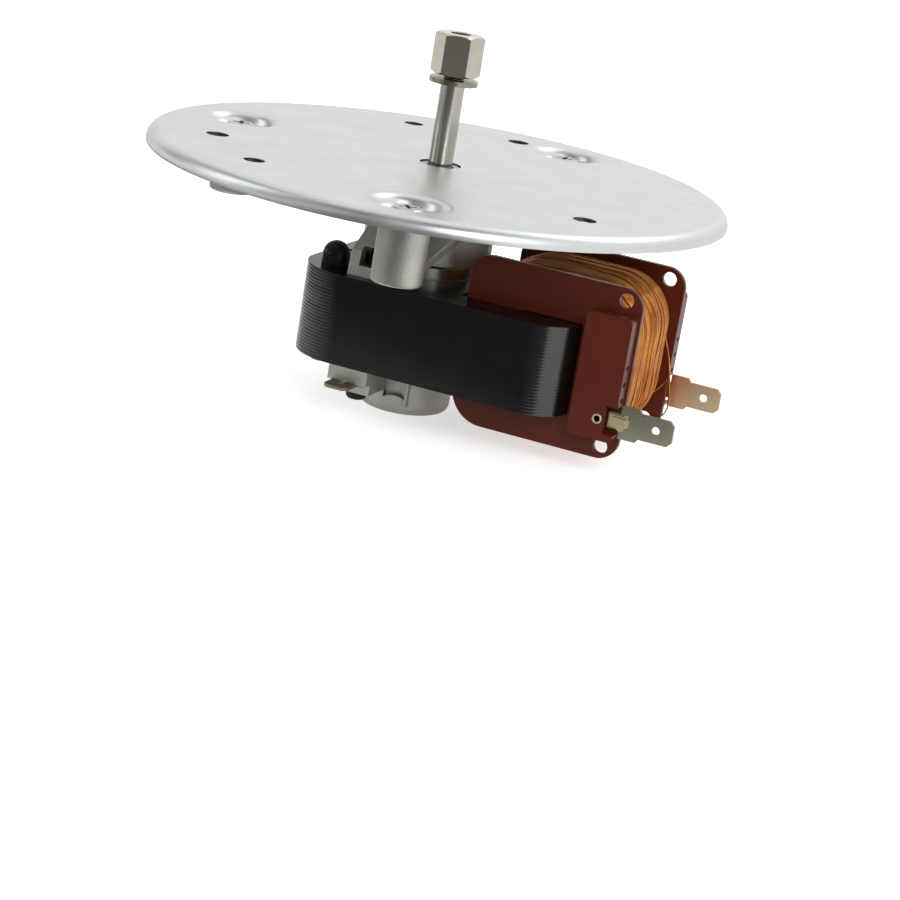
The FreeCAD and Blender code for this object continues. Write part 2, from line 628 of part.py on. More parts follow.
def lower_bracket():
    """Casting with a bar across the stack, a spine for the bolt heads and a cup for the lower bearing."""
    body = new_body("lower_bracket")
    end = "(sizes.foot_outer - sizes.low_inset)"
    bar = sketch_on(body, "XY_Plane", "bar", at=("0", "0", STACK_LOW))
    box_outline(bar, "-sizes.low_foot_left", "sizes.low_foot_wide - sizes.low_foot_left", f"-{end}", end)
    pad(body, bar, "sizes.bar_tall", reverse=True)
    spine = sketch_on(body, "XY_Plane", "spine", at=("0", "0", STACK_LOW))
    box_outline(spine, "-sizes.spine_left", "-sizes.spine_right", "-sizes.spine_end", "sizes.spine_end")
    pad(body, spine, "sizes.bar_tall + sizes.spine_tall", reverse=True)
    cup = sketch_on(body, "XY_Plane", "cup", at=("0", "0", STACK_LOW))
    circle(cup, "sizes.cup_dia")
    pad(body, cup, "sizes.cup_tall", reverse=True)
    round_edges(body, "Fillet", "sizes.cup_edge", rims_at(CUP_LOW))
    # Flat face with an arched lower edge in the cup's side, and the rib beside it
    niche = sketch_on(body, "XZ_Plane", "niche", at=("0", "0", "sizes.niche_face"))
    left, right = "-sizes.spine_right", "sizes.niche_right"
    floor = f"({STACK_LOW} - sizes.niche_tall)"
    outline(niche, [
        (right, floor, "sizes.niche_arch", 1),
        (right, STACK_LOW),
        (left, STACK_LOW),
        (left, floor),
    ])
    pocket(body, niche, "sizes.cup_dia", reverse=True)
    rib = sketch_on(body, "XY_Plane", "cup_rib", at=("0", "0", STACK_LOW))
    box_outline(rib, right, f"{right} + sizes.cup_rib",
                "-sizes.cup_rib_reach", "-sizes.niche_face + sizes.cup_rib")
    pad(body, rib, "sizes.cup_rib_tall", reverse=True)
    # Slot between the bar and the spine that holds the earth terminal's root
    slot = sketch_on(body, "XY_Plane", "earth_slot", at=("0", "0", f"{BAR_LOW} + sizes.seat_gap"))
    room = "sizes.fit_gap"
    box_outline(slot, "-sizes.low_foot_left", f"sizes.bolt_x + sizes.earth_root + {room}",
                "-sizes.foot_outer", f"-sizes.bolt_y + sizes.earth_root + {room}")
    pocket(body, slot, "sizes.tab_thick + 2 * sizes.seat_gap")
    bolts = sketch_on(body, "XY_Plane", "bolt_holes_low", at=("0", "0", STACK_LOW))
    for side in ("", "-"):
        circle(bolts, "sizes.bolt_dia + 2 * sizes.bolt_gap", "sizes.bolt_x", f"{side}sizes.bolt_y")
    pocket(body, bolts, "sizes.cup_tall")
    # Room for the rotor's lower end ring, then the shaft's well and the bearing's seat
    room = sketch_on(body, "XY_Plane", "ring_room", at=("0", "0", STACK_LOW))
    circle(room, "sizes.low_ring_dia + 2 * sizes.ring_room")
    pocket(body, room, "sizes.low_ring_tall + sizes.ring_room")
    well = sketch_on(body, "XY_Plane", "shaft_well", at=("0", "0", STACK_LOW))
    circle(well, "sizes.shaft_dia + 2 * sizes.shaft_room")
    pocket(body, well, "sizes.cup_tall - sizes.cup_floor")
    bearing_seat(body, "seat_low", LOWER_BALL, "sizes.cup_tall", False)
    return body


def bearing(label, centre):
    """Sintered bronze bush with a spherical outside, so that it finds the shaft's line."""
    ball = "sizes.ball_dia / 2"
    flat = f"(({ball}) ^ 2 - (sizes.ball_tall / 2) ^ 2) ^ 0.5"
    bore = "sizes.shaft_dia / 2 + sizes.running_gap"
    return turned(label, [
        (bore, f"{centre} - sizes.ball_tall / 2"),
        (flat, f"{centre} - sizes.ball_tall / 2"),
        (flat, f"{centre} + sizes.ball_tall / 2", ball, -1),
        (bore, f"{centre} + sizes.ball_tall / 2"),
    ])


def felt_ring(label, low):
    inside = "sizes.ball_dia / 2 + sizes.fit_gap"
    return turned(label, [
        (inside, low),
        ("sizes.felt_dia / 2", low),
        ("sizes.felt_dia / 2", f"{low} + sizes.felt_tall"),
        (inside, f"{low} + sizes.felt_tall"),
    ])


def spring_cap(label, low):
    """Pressed spring cap that holds the bearing in its seat, with cut tongues."""
    body = new_body(label)
    outside = "(sizes.felt_dia + 2 * sizes.fit_gap - 2 * sizes.seat_gap)"
    sketch = sketch_on(body, "XY_Plane", f"{label}_disc", at=("0", "0", low))
    circle(sketch, outside)
    circle(sketch, "sizes.cap_hole")
    pad(body, sketch, "sizes.cap_thick")
    slit = sketch_on(body, "XY_Plane", f"{label}_slit", at=("0", "0", low))
    half = "sizes.cap_slit / 2"
    box_outline(slit, "sizes.shaft_dia / 2", f"{outside} / 2 - sizes.cap_rim", f"-{half}", half)
    cut = pocket(body, slit, "sizes.cap_thick", reverse=True)
    polar(body, [cut], "sizes.cap_tongues")
    return body


def shaft():
    """Ground steel shaft with a stepped, threaded end."""
    body = new_body("shaft")
    low = f"({CUP_LOW} + sizes.cup_floor + sizes.shaft_rise)"
    steps = [
        ("shaft_body", low, "sizes.shaft_dia", f"sizes.shaft_shoulder - {low}"),
        ("shaft_thread", "sizes.shaft_shoulder", "sizes.thread_dia", "sizes.thread_long"),
    ]
    for name, start, dia, tall in steps:
        sketch = sketch_on(body, "XY_Plane", name, at=("0", "0", start))
        circle(sketch, dia)
        pad(body, sketch, tall)
    round_edges(body, "Chamfer", "sizes.shaft_chamfer", round_ends(body))
    return body


def round_ends(body):
    """Picks the circles at the lowest and highest ends of a body."""
    box = body.Shape.BoundBox
    return lambda edge: (
        edge.Closed
        and (abs(edge.BoundBox.ZMax - box.ZMin) < 1e-6 or abs(edge.BoundBox.ZMin - box.ZMax) < 1e-6)
    )


def rims_at(level_rule):
    """Picks the closed edges at one height."""
    level = value(level_rule)
    return lambda edge: (
        edge.Closed
        and abs(edge.BoundBox.ZMax - level) < 1e-6
        and abs(edge.BoundBox.ZMin - level) < 1e-6
    )


def ring_piece(label, low, tall, outer, inner):
    """A plain washer or ring."""
    body = new_body(label)
    sketch = sketch_on(body, "XY_Plane", f"{label}_ring", at=("0", "0", low))
    circle(sketch, outer)
    circle(sketch, inner)
    pad(body, sketch, tall)
    return body


def hexagon(sketch, flats_rule, x_rule="0", y_rule="0"):
    points = []
    for corner in range(6):
        angle = math.radians(60 * corner + 30)
        points.append((
            f"{x_rule} + ({flats_rule}) / {math.sqrt(3):.9f} * {math.cos(angle):.9f}",
            f"{y_rule} + ({flats_rule}) / {math.sqrt(3):.9f} * {math.sin(angle):.9f}",
        ))
    outline(sketch, points)


def chamfer_cone(body, name, low, high, flats_rule):
    """Turn off the corners of a hexagon at both ends, as a nut's are."""
    start = f"({flats_rule} / 2 - sizes.nut_land)"
    far = f"({flats_rule} / {math.sqrt(3):.9f} + sizes.nut_land)"
    slope = f"({far} - {start}) * {math.tan(math.radians(30)):.9f}"
    for end, sign in ((high, "-"), (low, "+")):
        sketch = sketch_on(body, "XZ_Plane", f"{name}_{'top' if sign == '-' else 'low'}")
        outline(sketch, [
            (start, end),
            (far, end),
            (far, f"{end} {sign} {slope}"),
        ])
        revolve(body, sketch, cut=True)


def shaft_nut():
    body = new_body("shaft_nut")
    low = "(sizes.shaft_shoulder + sizes.washer_thick + sizes.nut_lift)"
    sketch = sketch_on(body, "XY_Plane", "nut_hexagon", at=("0", "0", low), turn=value("sizes.nut_turn"))
    hexagon(sketch, "sizes.nut_flats")
    circle(sketch, "sizes.thread_dia + 2 * sizes.seat_gap")
    pad(body, sketch, "sizes.nut_tall")
    chamfer_cone(body, "nut_chamfer", low, f"({low} + sizes.nut_tall)", "sizes.nut_flats")
    return body


def stator_stack():
    """C-shaped stack of laminations with the rotor's bore, the window for the coil and the pole slots."""
    body = new_body("stator_stack")
    back = "-sizes.stack_back"
    half = "sizes.stack_half"
    end = "sizes.limb_end"
    sketch = sketch_on(body, "XY_Plane", "lamination", at=("0", "0", STACK_LOW))
    corner = "sizes.back_round"
    nose = "sizes.limb_round"
    points = [
        (f"{back} + {corner}", f"-{half}"),
        (f"{end} - {nose}", f"-{half}"),
        (end, f"-{half} + {nose}", nose, -1),
        (end, f"-{WINDOW_HALF}"),
        ("sizes.window_start", f"-{WINDOW_HALF}"),
        ("sizes.window_start", WINDOW_HALF),
        (end, WINDOW_HALF),
        (end, f"{half} - {nose}"),
        (f"{end} - {nose}", half, nose, -1),
        (f"{back} + {corner}", half),
        (back, f"{half} - {corner}", corner, -1),
        (back, f"-{half} + {corner}"),
        (f"{back} + {corner}", f"-{half}", corner, -1),
    ]
    outline(sketch, points[1:])
    pad(body, sketch, "sizes.stack_tall")
    bore = sketch_on(body, "XY_Plane", "rotor_bore", at=("0", "0", STACK_LOW))
    circle(bore, "sizes.rotor_dia + 2 * sizes.air_gap")
    pocket(body, bore, "sizes.stack_tall", reverse=True)
    slot = sketch_on(body, "XY_Plane", "pole_slot", at=("0", "0", STACK_LOW))
    box_outline(slot, f"{back} + sizes.slot_bridge", "-sizes.rotor_dia / 2 + 1",
                "-sizes.pole_slot / 2", "sizes.pole_slot / 2")
    pocket(body, slot, "sizes.stack_tall", reverse=True)
    holes = sketch_on(body, "XY_Plane", "through_holes", at=("0", "0", STACK_LOW))
    for side in ("", "-"):
        circle(holes, "sizes.bolt_dia + 2 * sizes.bolt_gap", "sizes.bolt_x", f"{side}sizes.bolt_y")
        circle(holes, "sizes.rivet_dia + 2 * sizes.seat_gap", "sizes.rivet_x", f"{side}sizes.rivet_y")
    pocket(body, holes, "sizes.stack_tall", reverse=True)
    room = "(sizes.shade_bar / 2 + sizes.fit_gap)"
    for number, angle in enumerate(shade_angles()):
        for side in (-1, 1):
            name = f"shade_{number}_{side + 1}"
            cut = sketch_on(body, "XY_Plane", name, at=("0", "0", STACK_LOW), turn=angle)
            middle = f"({side}) * (sizes.shade_wide - sizes.shade_bar) / 2"
            box_outline(cut, f"sizes.shade_radius - {room}", f"sizes.shade_radius + {room}",
                        f"{middle} - {room}", f"{middle} + {room}")
            pocket(body, cut, "sizes.stack_tall", reverse=True)
    return body


def shade_angles():
    spread = value("sizes.shade_angle")
    return (spread, spread - 180)


def shading_rings():
    """Closed copper loops, one round part of each pole."""
    wide = value("sizes.shade_wide")
    bar = value("sizes.shade_bar")
    proud = value("sizes.shade_proud")
    low = value(STACK_LOW) - proud
    tall = value("sizes.stack_tall") + 2 * proud
    start = value("sizes.shade_radius") - bar / 2
    group = []
    for angle in shade_angles():
        frame = Part.makeBox(bar, wide, tall, Vector(start, -wide / 2, low))
        inside = Part.makeBox(3 * bar, wide - 2 * bar, tall - 2 * bar,
                              Vector(start - bar, bar - wide / 2, low + bar))
        ring = frame.cut(inside)
        ring.rotate(Vector(0, 0, 0), Vector(0, 0, 1), angle)
        group.append(ring)
    return solid("shading_rings", Part.makeCompound(group))


def coil_core():
    """Straight stack that closes the C through the coil."""
    body = new_body("coil_core")
    sketch = sketch_on(body, "XY_Plane", "core_lamination", at=("0", "0", STACK_LOW))
    half = f"({WINDOW_HALF} - sizes.seat_gap)"
    box_outline(sketch, CORE_LEFT, "sizes.limb_end", f"-{half}", half)
    pad(body, sketch, "sizes.stack_tall")
    return body


def stack_rivets():
    """Two rivets through the stack with high domed ends on top."""
    shank = value("sizes.rivet_dia / 2")
    dome = value("sizes.rivet_dome / 2")
    tall = value("sizes.rivet_tall")
    top, low = value(STACK_TOP), value(STACK_LOW)
    under = value("sizes.rivet_foot")
    corners = [
        Vector(0, 0, low - under), Vector(dome * 0.8, 0, low - under), Vector(dome, 0, low - under * 0.4),
        Vector(dome, 0, low), Vector(shank, 0, low), Vector(shank, 0, top), Vector(dome, 0, top),
        Vector(dome, 0, top + tall - dome),
    ]
    edges = [Part.LineSegment(a, b).toShape() for a, b in zip(corners, corners[1:])]
    sweep = math.radians(45)
    crown = Vector(0, 0, top + tall)
    on_dome = Vector(dome * math.cos(sweep), 0, top + tall - dome + dome * math.sin(sweep))
    edges.append(Part.Arc(corners[-1], on_dome, crown).toShape())
    edges.append(Part.LineSegment(crown, corners[0]).toShape())
    rivet = Part.Face(Part.Wire(edges)).revolve(Vector(0, 0, 0), Vector(0, 0, 1), 360)
    group = []
    for side in (-1, 1):
        copy = rivet.copy()
        copy.translate(Vector(value("sizes.rivet_x"), side * value("sizes.rivet_y"), 0))
        group.append(copy)
    return solid("stack_rivets", Part.makeCompound(group))


def bracket_bolts():
    """Two bolts from below, through the spine, the stack and the upper feet."""
    shank = value("sizes.bolt_dia / 2")
    head = value("sizes.bolt_head / 2")
    tall = value("sizes.bolt_head_tall")
    seat = value(SPINE_LOW)
    tip = value(f"{STACK_TOP} + sizes.foot_pad + sizes.bolt_nut_tall + sizes.bolt_spare")
    cap = Part.makeCylinder(head, tall, Vector(0, 0, seat - tall))
    rim = [e for e in cap.Edges if e.Closed and abs(e.BoundBox.ZMax - (seat - tall)) < 1e-6]
    cap = cap.makeFillet(value("sizes.bolt_head_edge"), rim)
    bolt = Part.makeCylinder(shank, tip - seat, Vector(0, 0, seat)).fuse(cap).removeSplitter()
    return solid("bracket_bolts", at_both_bolts(bolt))


def at_both_bolts(shape):
    """The same shape on both bracket bolts' axes."""
    group = []
    for side in (-1, 1):
        copy = shape.copy()
        copy.translate(Vector(value("sizes.bolt_x"), side * value("sizes.bolt_y"), 0))
        group.append(copy)
    return Part.makeCompound(group)


def bracket_nuts():
    """Two plain hexagon nuts with a flat to each side, on the upper feet."""
    low = value(f"{STACK_TOP} + sizes.foot_pad")
    tall = value("sizes.bolt_nut_tall")
    corner = value("sizes.bolt_nut") / math.sqrt(3)
    turns = [math.radians(60 * number + 30) for number in range(7)]
    ring = [Vector(corner * math.cos(turn), corner * math.sin(turn), low) for turn in turns]
    blank = Part.Face(Part.makePolygon(ring)).extrude(Vector(0, 0, tall))
    hole = Part.makeCylinder(value("sizes.bolt_dia / 2 + sizes.seat_gap"), 3 * tall, Vector(0, 0, low - tall))
    return solid("bracket_nuts", at_both_bolts(blank.cut(hole)))


def bobbin():
    """Moulded bobbin: tube round the core, two flanges, and a raised terminal block on each flange."""
    body = new_body("bobbin")
    wall = "(sizes.tube_wall + sizes.fit_gap)"
    tube = sketch_on(body, "XZ_Plane", "tube")
    box_outline(tube, f"{CORE_LEFT} - {wall}", f"sizes.limb_end + {wall}",
                f"{STACK_LOW} - {wall}", f"{STACK_TOP} + {wall}")
    pad(body, tube, f"2 * {FLANGE_FACE}", both=True)
    flange = sketch_on(body, "XZ_Plane", "flange", at=("0", "0", FLANGE_FACE))
    bend, heel = "sizes.flange_round", "sizes.heel_round"
    left, right = "sizes.bobbin_left", "sizes.bobbin_right"
    outline(flange, [
        (f"{right} - {bend}", BOBBIN_LOW),
        (right, f"{BOBBIN_LOW} + {bend}", bend, -1),
        (right, f"{BOBBIN_TOP} - {bend}"),
        (f"{right} - {bend}", BOBBIN_TOP, bend, -1),
        (f"{left} + {bend}", BOBBIN_TOP),
        (left, f"{BOBBIN_TOP} - {bend}", bend, -1),
        (left, f"{BOBBIN_LOW} + {heel}"),
        (f"{left} + {heel}", BOBBIN_LOW, heel, -1),
    ])
    plate = pad(body, flange, "sizes.flange_thick", reverse=True)
    block = sketch_on(body, "XZ_Plane", "block", at=("0", "0", FLANGE_FACE))
    near, far, bend = "sizes.block_left", "sizes.block_right", "sizes.block_round"
    high, low = f"({STACK_TOP} + sizes.block_above)", f"({STACK_LOW} - sizes.block_below)"
    outline(block, [
        (f"{far} - {bend}", low),
        (far, f"{low} + {bend}", bend, -1),
        (far, f"{high} - {bend}"),
        (f"{far} - {bend}", high, bend, -1),
        (f"{near} + {bend}", high),
        (near, f"{high} - {bend}", bend, -1),
        (near, f"{low} + {bend}"),
        (f"{near} + {bend}", low, bend, -1),
    ])
    raised = pad(body, block, "sizes.block_deep")
    corners = sketch_on(body, "XZ_Plane", "flange_holes", at=("0", "0", FLANGE_FACE))
    for z_rule in (f"{BOBBIN_TOP} - sizes.corner_drop", f"{BOBBIN_LOW} + sizes.corner_drop"):
        circle(corners, "sizes.corner_hole", f"{right} - sizes.corner_inset", z_rule)
    holes = pocket(body, corners, "sizes.flange_thick")
    # Slot for the blade's root, a moulded eye, and small slits in the block's outer side
    face = f"({FLANGE_FACE} + sizes.block_deep)"
    slot = sketch_on(body, "XZ_Plane", "root_slot", at=("0", "0", face))
    half = "(sizes.tab_wide / 2 + sizes.root_room)"
    box_outline(slot, f"{TAB_ROOT} - sizes.root_room", f"{far} + sizes.root_room",
                f"{TAB_MID} - {half}", f"{TAB_MID} + {half}")
    root = pocket(body, slot, "sizes.block_deep - sizes.tab_floor")
    eye = sketch_on(body, "XZ_Plane", "eye", at=("0", "0", face))
    circle(eye, "sizes.eye_dia", f"{TAB_ROOT} - sizes.eye_in", TAB_MID)
    eyes = pocket(body, eye, "sizes.block_deep - sizes.eye_floor")
    slits = sketch_on(body, "XZ_Plane", "slits", at=("0", "0", f"{face} - sizes.slit_inset"))
    for number in range(3):
        start = f"{TAB_MID} + sizes.slit_rise + {number} * sizes.slit_step"
        box_outline(slits, f"{far} - sizes.slit_deep", f"{far} + sizes.slit_deep",
                    start, f"{start} + sizes.slit_tall")
    cuts = pocket(body, slits, "sizes.slit_wide")
    mirror(body, [plate, raised, holes, root, eyes, cuts])
    opening = sketch_on(body, "XZ_Plane", "core_opening")
    box_outline(opening, f"{CORE_LEFT} - sizes.fit_gap", "sizes.limb_end + sizes.fit_gap",
                f"{STACK_LOW} - sizes.fit_gap", f"{STACK_TOP} + sizes.fit_gap")
    pocket(body, opening, both=True)
    return body


def coil_winding():
    """Enamelled copper winding: a rounded ring that swells a little between the flanges."""
    body = new_body("coil_winding")
    inner = f"({FLANGE_FACE} - sizes.flange_thick - sizes.fit_gap)"
    side = "sizes.coil_side"
    bend = "sizes.coil_round"
    sketches = []
    for place, sign, swell in (("rear", "-", "0"), ("middle", "0 *", "sizes.coil_crown"), ("front", "", "0")):
        sketch = sketch_on(body, "XZ_Plane", f"winding_{place}", at=("0", "0", f"{sign} {inner}"))
        left = f"(sizes.bobbin_left + {side} - {swell})"
        right = f"(sizes.bobbin_right - {side} + {swell})"
        low = f"({BOBBIN_LOW} + {side} - {swell})"
        high = f"({BOBBIN_TOP} - {side} + {swell})"
        outline(sketch, [
            (f"{right} - {bend}", low),
            (right, f"{low} + {bend}", bend, -1),
            (right, f"{high} - {bend}"),
            (f"{right} - {bend}", high, bend, -1),
            (f"{left} + {bend}", high),
            (left, f"{high} - {bend}", bend, -1),
            (left, f"{low} + {bend}"),
            (f"{left} + {bend}", low, bend, -1),
        ])
        sketches.append(sketch)
    loft = body.newObject("PartDesign::AdditiveLoft", "winding_loft")
    loft.Profile = sketches[0]
    loft.Sections = sketches[1:]
    doc.recompute()
    room = sketch_on(body, "XZ_Plane", "winding_room")
    wall = "(sizes.tube_wall + 2 * sizes.fit_gap)"
    box_outline(room, f"{CORE_LEFT} - {wall}", f"sizes.limb_end + {wall}",
                f"{STACK_LOW} - {wall}", f"{STACK_TOP} + {wall}")
    pocket(body, room, both=True)
    return body


def coil_terminal(label, side):
    """Blade terminal with shoulders; its root sits in the slot of the terminal block."""
    body = new_body(label)
    depth = f"({FLANGE_FACE} + sizes.tab_floor + sizes.root_room + sizes.tab_thick / 2)"
    sketch = sketch_on(body, "XZ_Plane", f"{label}_blade", at=("0", "0", depth if side < 0 else f"-{depth}"))
    half, wide, neck = "sizes.tab_wide / 2", "sizes.tab_shoulder / 2", "sizes.tab_neck / 2"
    bevel = "sizes.tab_bevel"
    collar = "(sizes.block_right + sizes.tab_clear)"
    slope = f"({collar} + sizes.tab_collar)"
    blade = f"({slope} + sizes.tab_flare)"
    outline(sketch, [
        (f"{TAB_TIP} - {bevel}", f"{TAB_MID} - {half}"),
        (TAB_TIP, f"{TAB_MID} - {half} + {bevel}"),
        (TAB_TIP, f"{TAB_MID} + {half} - {bevel}"),
        (f"{TAB_TIP} - {bevel}", f"{TAB_MID} + {half}"),
        (blade, f"{TAB_MID} + {half}"),
        (slope, f"{TAB_MID} + {wide}"),
        (collar, f"{TAB_MID} + {wide}"),
        (collar, f"{TAB_MID} + {neck}"),
        (TAB_ROOT, f"{TAB_MID} + {neck}"),
        (TAB_ROOT, f"{TAB_MID} - {neck}"),
        (collar, f"{TAB_MID} - {neck}"),
        (collar, f"{TAB_MID} - {wide}"),
        (slope, f"{TAB_MID} - {wide}"),
        (blade, f"{TAB_MID} - {half}"),
    ])
    pad(body, sketch, "sizes.tab_thick", both=True)
    hole = sketch_on(body, "XZ_Plane", f"{label}_hole")
    circle(hole, "sizes.tab_hole", f"{TAB_TIP} - sizes.tab_hole_in", TAB_MID)
    pocket(body, hole, both=True)
    return body


def earth_terminal():
    """Flat blade whose root lies round a bolt, between the lower bracket's bar and its spine."""
    body = new_body("earth_terminal")
    sketch = sketch_on(body, "XY_Plane", "earth_blade", at=("0", "0", BAR_LOW))
    middle = "(sizes.bolt_x - sizes.earth_shift)"
    left = f"({middle} - sizes.tab_wide / 2)"
    right = f"({middle} + sizes.tab_wide / 2)"
    tip = "(-sizes.earth_reach)"
    bevel = "sizes.tab_bevel"
    outline(sketch, [
        (f"{left} + {bevel}", tip),
        (f"{right} - {bevel}", tip),
        (right, f"{tip} + {bevel}"),
        (right, f"{tip} + sizes.earth_narrow"),
        ("sizes.bolt_x + sizes.earth_root", f"{tip} + sizes.earth_narrow + sizes.tab_bevel"),
        ("sizes.bolt_x + sizes.earth_root", "-sizes.bolt_y + sizes.earth_root"),
        (left, "-sizes.bolt_y + sizes.earth_root"),
        (left, f"{tip} + {bevel}"),
    ])
    pad(body, sketch, "sizes.tab_thick", reverse=True)
    holes = sketch_on(body, "XY_Plane", "earth_holes", at=("0", "0", BAR_LOW))
    circle(holes, "sizes.bolt_dia + 2 * sizes.bolt_gap", "sizes.bolt_x", "-sizes.bolt_y")
    circle(holes, "sizes.tab_hole", middle, f"{tip} + sizes.tab_hole_in")
    pocket(body, holes, "sizes.tab_thick")
    return body


def rotor_core():
    """Rotor laminations with a ring of holes for the cage bars."""
    body = new_body("rotor_core")
    sketch = sketch_on(body, "XY_Plane", "rotor_disc", at=("0", "0", STACK_LOW))
    circle(sketch, "sizes.rotor_dia")
    circle(sketch, "sizes.shaft_dia + 2 * sizes.seat_gap")
    pad(body, sketch, "sizes.stack_tall")
    bar = sketch_on(body, "XY_Plane", "bar_hole", at=("0", "0", STACK_LOW))
    circle(bar, "sizes.bar_dia + 2 * sizes.seat_gap", "sizes.bar_circle / 2", "0")
    cut = pocket(body, bar, "sizes.stack_tall", reverse=True)
    polar(body, [cut], "sizes.bar_count")
    return body


def rotor_cage():
    """Cast aluminium cage: bars through the rotor joined by a ring at each end."""
    body = new_body("rotor_cage")
    low = sketch_on(body, "XY_Plane", "ring_low", at=("0", "0", STACK_LOW))
    circle(low, "sizes.low_ring_dia")
    circle(low, "sizes.ring_bore")
    pad(body, low, "sizes.low_ring_tall", reverse=True)
    bar = sketch_on(body, "XY_Plane", "cage_bar", at=("0", "0", STACK_LOW))
    circle(bar, "sizes.bar_dia", "sizes.bar_circle / 2", "0")
    first = pad(body, bar, "sizes.stack_tall")
    polar(body, [first], "sizes.bar_count")
    top = sketch_on(body, "XY_Plane", "ring_top", at=("0", "0", STACK_TOP))
    circle(top, "sizes.ring_dia")
    circle(top, "sizes.ring_bore")
    pad(body, top, "sizes.ring_tall")
    return body


def coil_leads():
    """Two wire ends from the winding to the inner faces of the terminals."""
    radius = value("sizes.lead_dia / 2")
    swollen = "sizes.bobbin_right - sizes.coil_side + sizes.coil_crown"
    start_x = value(f"{swollen} + sizes.lead_dia / 2 + sizes.fit_gap")
    start_z = value(f"{TAB_MID} + sizes.lead_tall")
    end_x = value(f"{TAB_ROOT} + sizes.lead_reach")
    end_y = value(f"{FLANGE_FACE} + sizes.tab_floor + sizes.root_room - sizes.lead_dia / 2 - sizes.fit_gap")
    end_z = value(f"{TAB_MID} + sizes.lead_over")
    group = []
    for side in (-1, 1):
        start = Vector(start_x, side * value("sizes.lead_apart"), start_z)
        end = Vector(end_x, side * end_y, end_z)
        middle = (start + end) * 0.5 + Vector(value("sizes.lead_bow"), 0, 0)
        path = Part.Wire([Part.Arc(start, middle, end).toShape()])
        way = path.Edges[0].tangentAt(path.Edges[0].FirstParameter)
        section = Part.Wire([Part.Circle(start, way, radius).toShape()])
        group.append(path.makePipeShell([section], True, True))
    return solid("coil_leads", Part.makeCompound(group))


def build():
    mounting_plate()
    plate_screws()
    upper_bracket()
    lower_bracket()
    stator_stack()
    coil_core()
    shading_rings()
    stack_rivets()
    bracket_bolts()
    bracket_nuts()
    bobbin()
    coil_winding()
    coil_leads()
    coil_terminal("terminal_front", -1)
    coil_terminal("terminal_rear", 1)
    earth_terminal()
    rotor_core()
    rotor_cage()
    shaft()
    bearing("upper_bearing", UPPER_BALL)
    bearing("lower_bearing", LOWER_BALL)
    felt_ring("upper_felt", f"({UPPER_BALL} - sizes.felt_tall)")
    felt_ring("lower_felt", LOWER_BALL)
    spring_cap("upper_cap", f"({UPPER_BALL} - {CAP_PLACE} - sizes.cap_thick)")
    spring_cap("lower_cap", f"({LOWER_BALL} + {CAP_PLACE})")
    space = "(sizes.ball_tall / 2 + sizes.thrust_gap)"
    hole = "sizes.shaft_dia + 2 * sizes.seat_gap"
    ring_piece("upper_thrust_washer", f"({UPPER_BALL} - {space} - sizes.thrust_thick)",
               "sizes.thrust_thick", "sizes.thrust_dia", hole)
    ring_piece("lower_thrust_washer", f"({LOWER_BALL} + {space})",
               "sizes.thrust_thick", "sizes.thrust_dia", hole)
    ring_piece("shaft_washer", "sizes.shaft_shoulder", "sizes.washer_thick", "sizes.washer_dia",
               "sizes.thread_dia + 2 * sizes.fit_gap")
    shaft_nut()


def check_and_write():
    doc.recompute()
    for thing in doc.Objects:
        if "Invalid" in thing.State or "Error" in thing.State:
            raise RuntimeError(f"{thing.Label} failed: {thing.State}")
    pieces = [t for t in doc.Objects if t.TypeId in ("PartDesign::Body", "Part::Feature")]
    os.makedirs("parts", exist_ok=True)
    for piece in pieces:
        if piece.Shape.isNull() or not piece.Shape.isValid():
            raise RuntimeError(f"{piece.Label} is not a valid shape")
    for piece in pieces:
        piece.Shape.exportStep(f"parts/{piece.Label}.step")
        print(piece.Label, len(piece.Shape.Solids), round(piece.Shape.Volume, 1))


build()
check_and_write()
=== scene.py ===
"""Looks of an oven fan motor: finishes, the wound coil, lamination edges, threads and crimps.

It is laid out as an add-on: property groups hold the sizes and colours, each operator makes one
piece or group of pieces, and the panel lists the operators. Everything is in the frame of the
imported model: metres, +Z along the shaft, the origin on the shaft axis at the plate's top face.
"""

import math
import random

import bmesh
import bpy
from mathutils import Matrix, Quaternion, Vector


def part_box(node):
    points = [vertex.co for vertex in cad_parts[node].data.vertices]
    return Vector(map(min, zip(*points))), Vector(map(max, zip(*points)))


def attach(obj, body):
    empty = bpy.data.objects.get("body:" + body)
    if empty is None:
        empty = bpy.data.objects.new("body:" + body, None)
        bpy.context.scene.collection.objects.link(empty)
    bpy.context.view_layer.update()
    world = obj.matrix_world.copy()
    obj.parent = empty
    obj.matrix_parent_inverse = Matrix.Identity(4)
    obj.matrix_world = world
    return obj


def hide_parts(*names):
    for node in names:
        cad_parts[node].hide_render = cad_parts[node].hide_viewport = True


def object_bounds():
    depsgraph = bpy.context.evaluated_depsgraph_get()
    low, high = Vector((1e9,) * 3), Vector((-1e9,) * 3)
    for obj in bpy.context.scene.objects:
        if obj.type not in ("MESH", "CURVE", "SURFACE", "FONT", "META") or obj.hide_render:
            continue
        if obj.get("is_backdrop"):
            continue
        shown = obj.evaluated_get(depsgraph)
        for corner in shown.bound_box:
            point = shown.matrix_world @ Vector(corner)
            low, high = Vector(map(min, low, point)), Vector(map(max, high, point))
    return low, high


bl_info = {
    "name": "Oven fan motor",
    "version": (1, 0, 0),
    "blender": (4, 5, 0),
    "location": "3D View > Sidebar > Motor",
    "description": "Finishes and fine pieces of an oven fan motor on its mounting plate",
    "category": "Object",
}

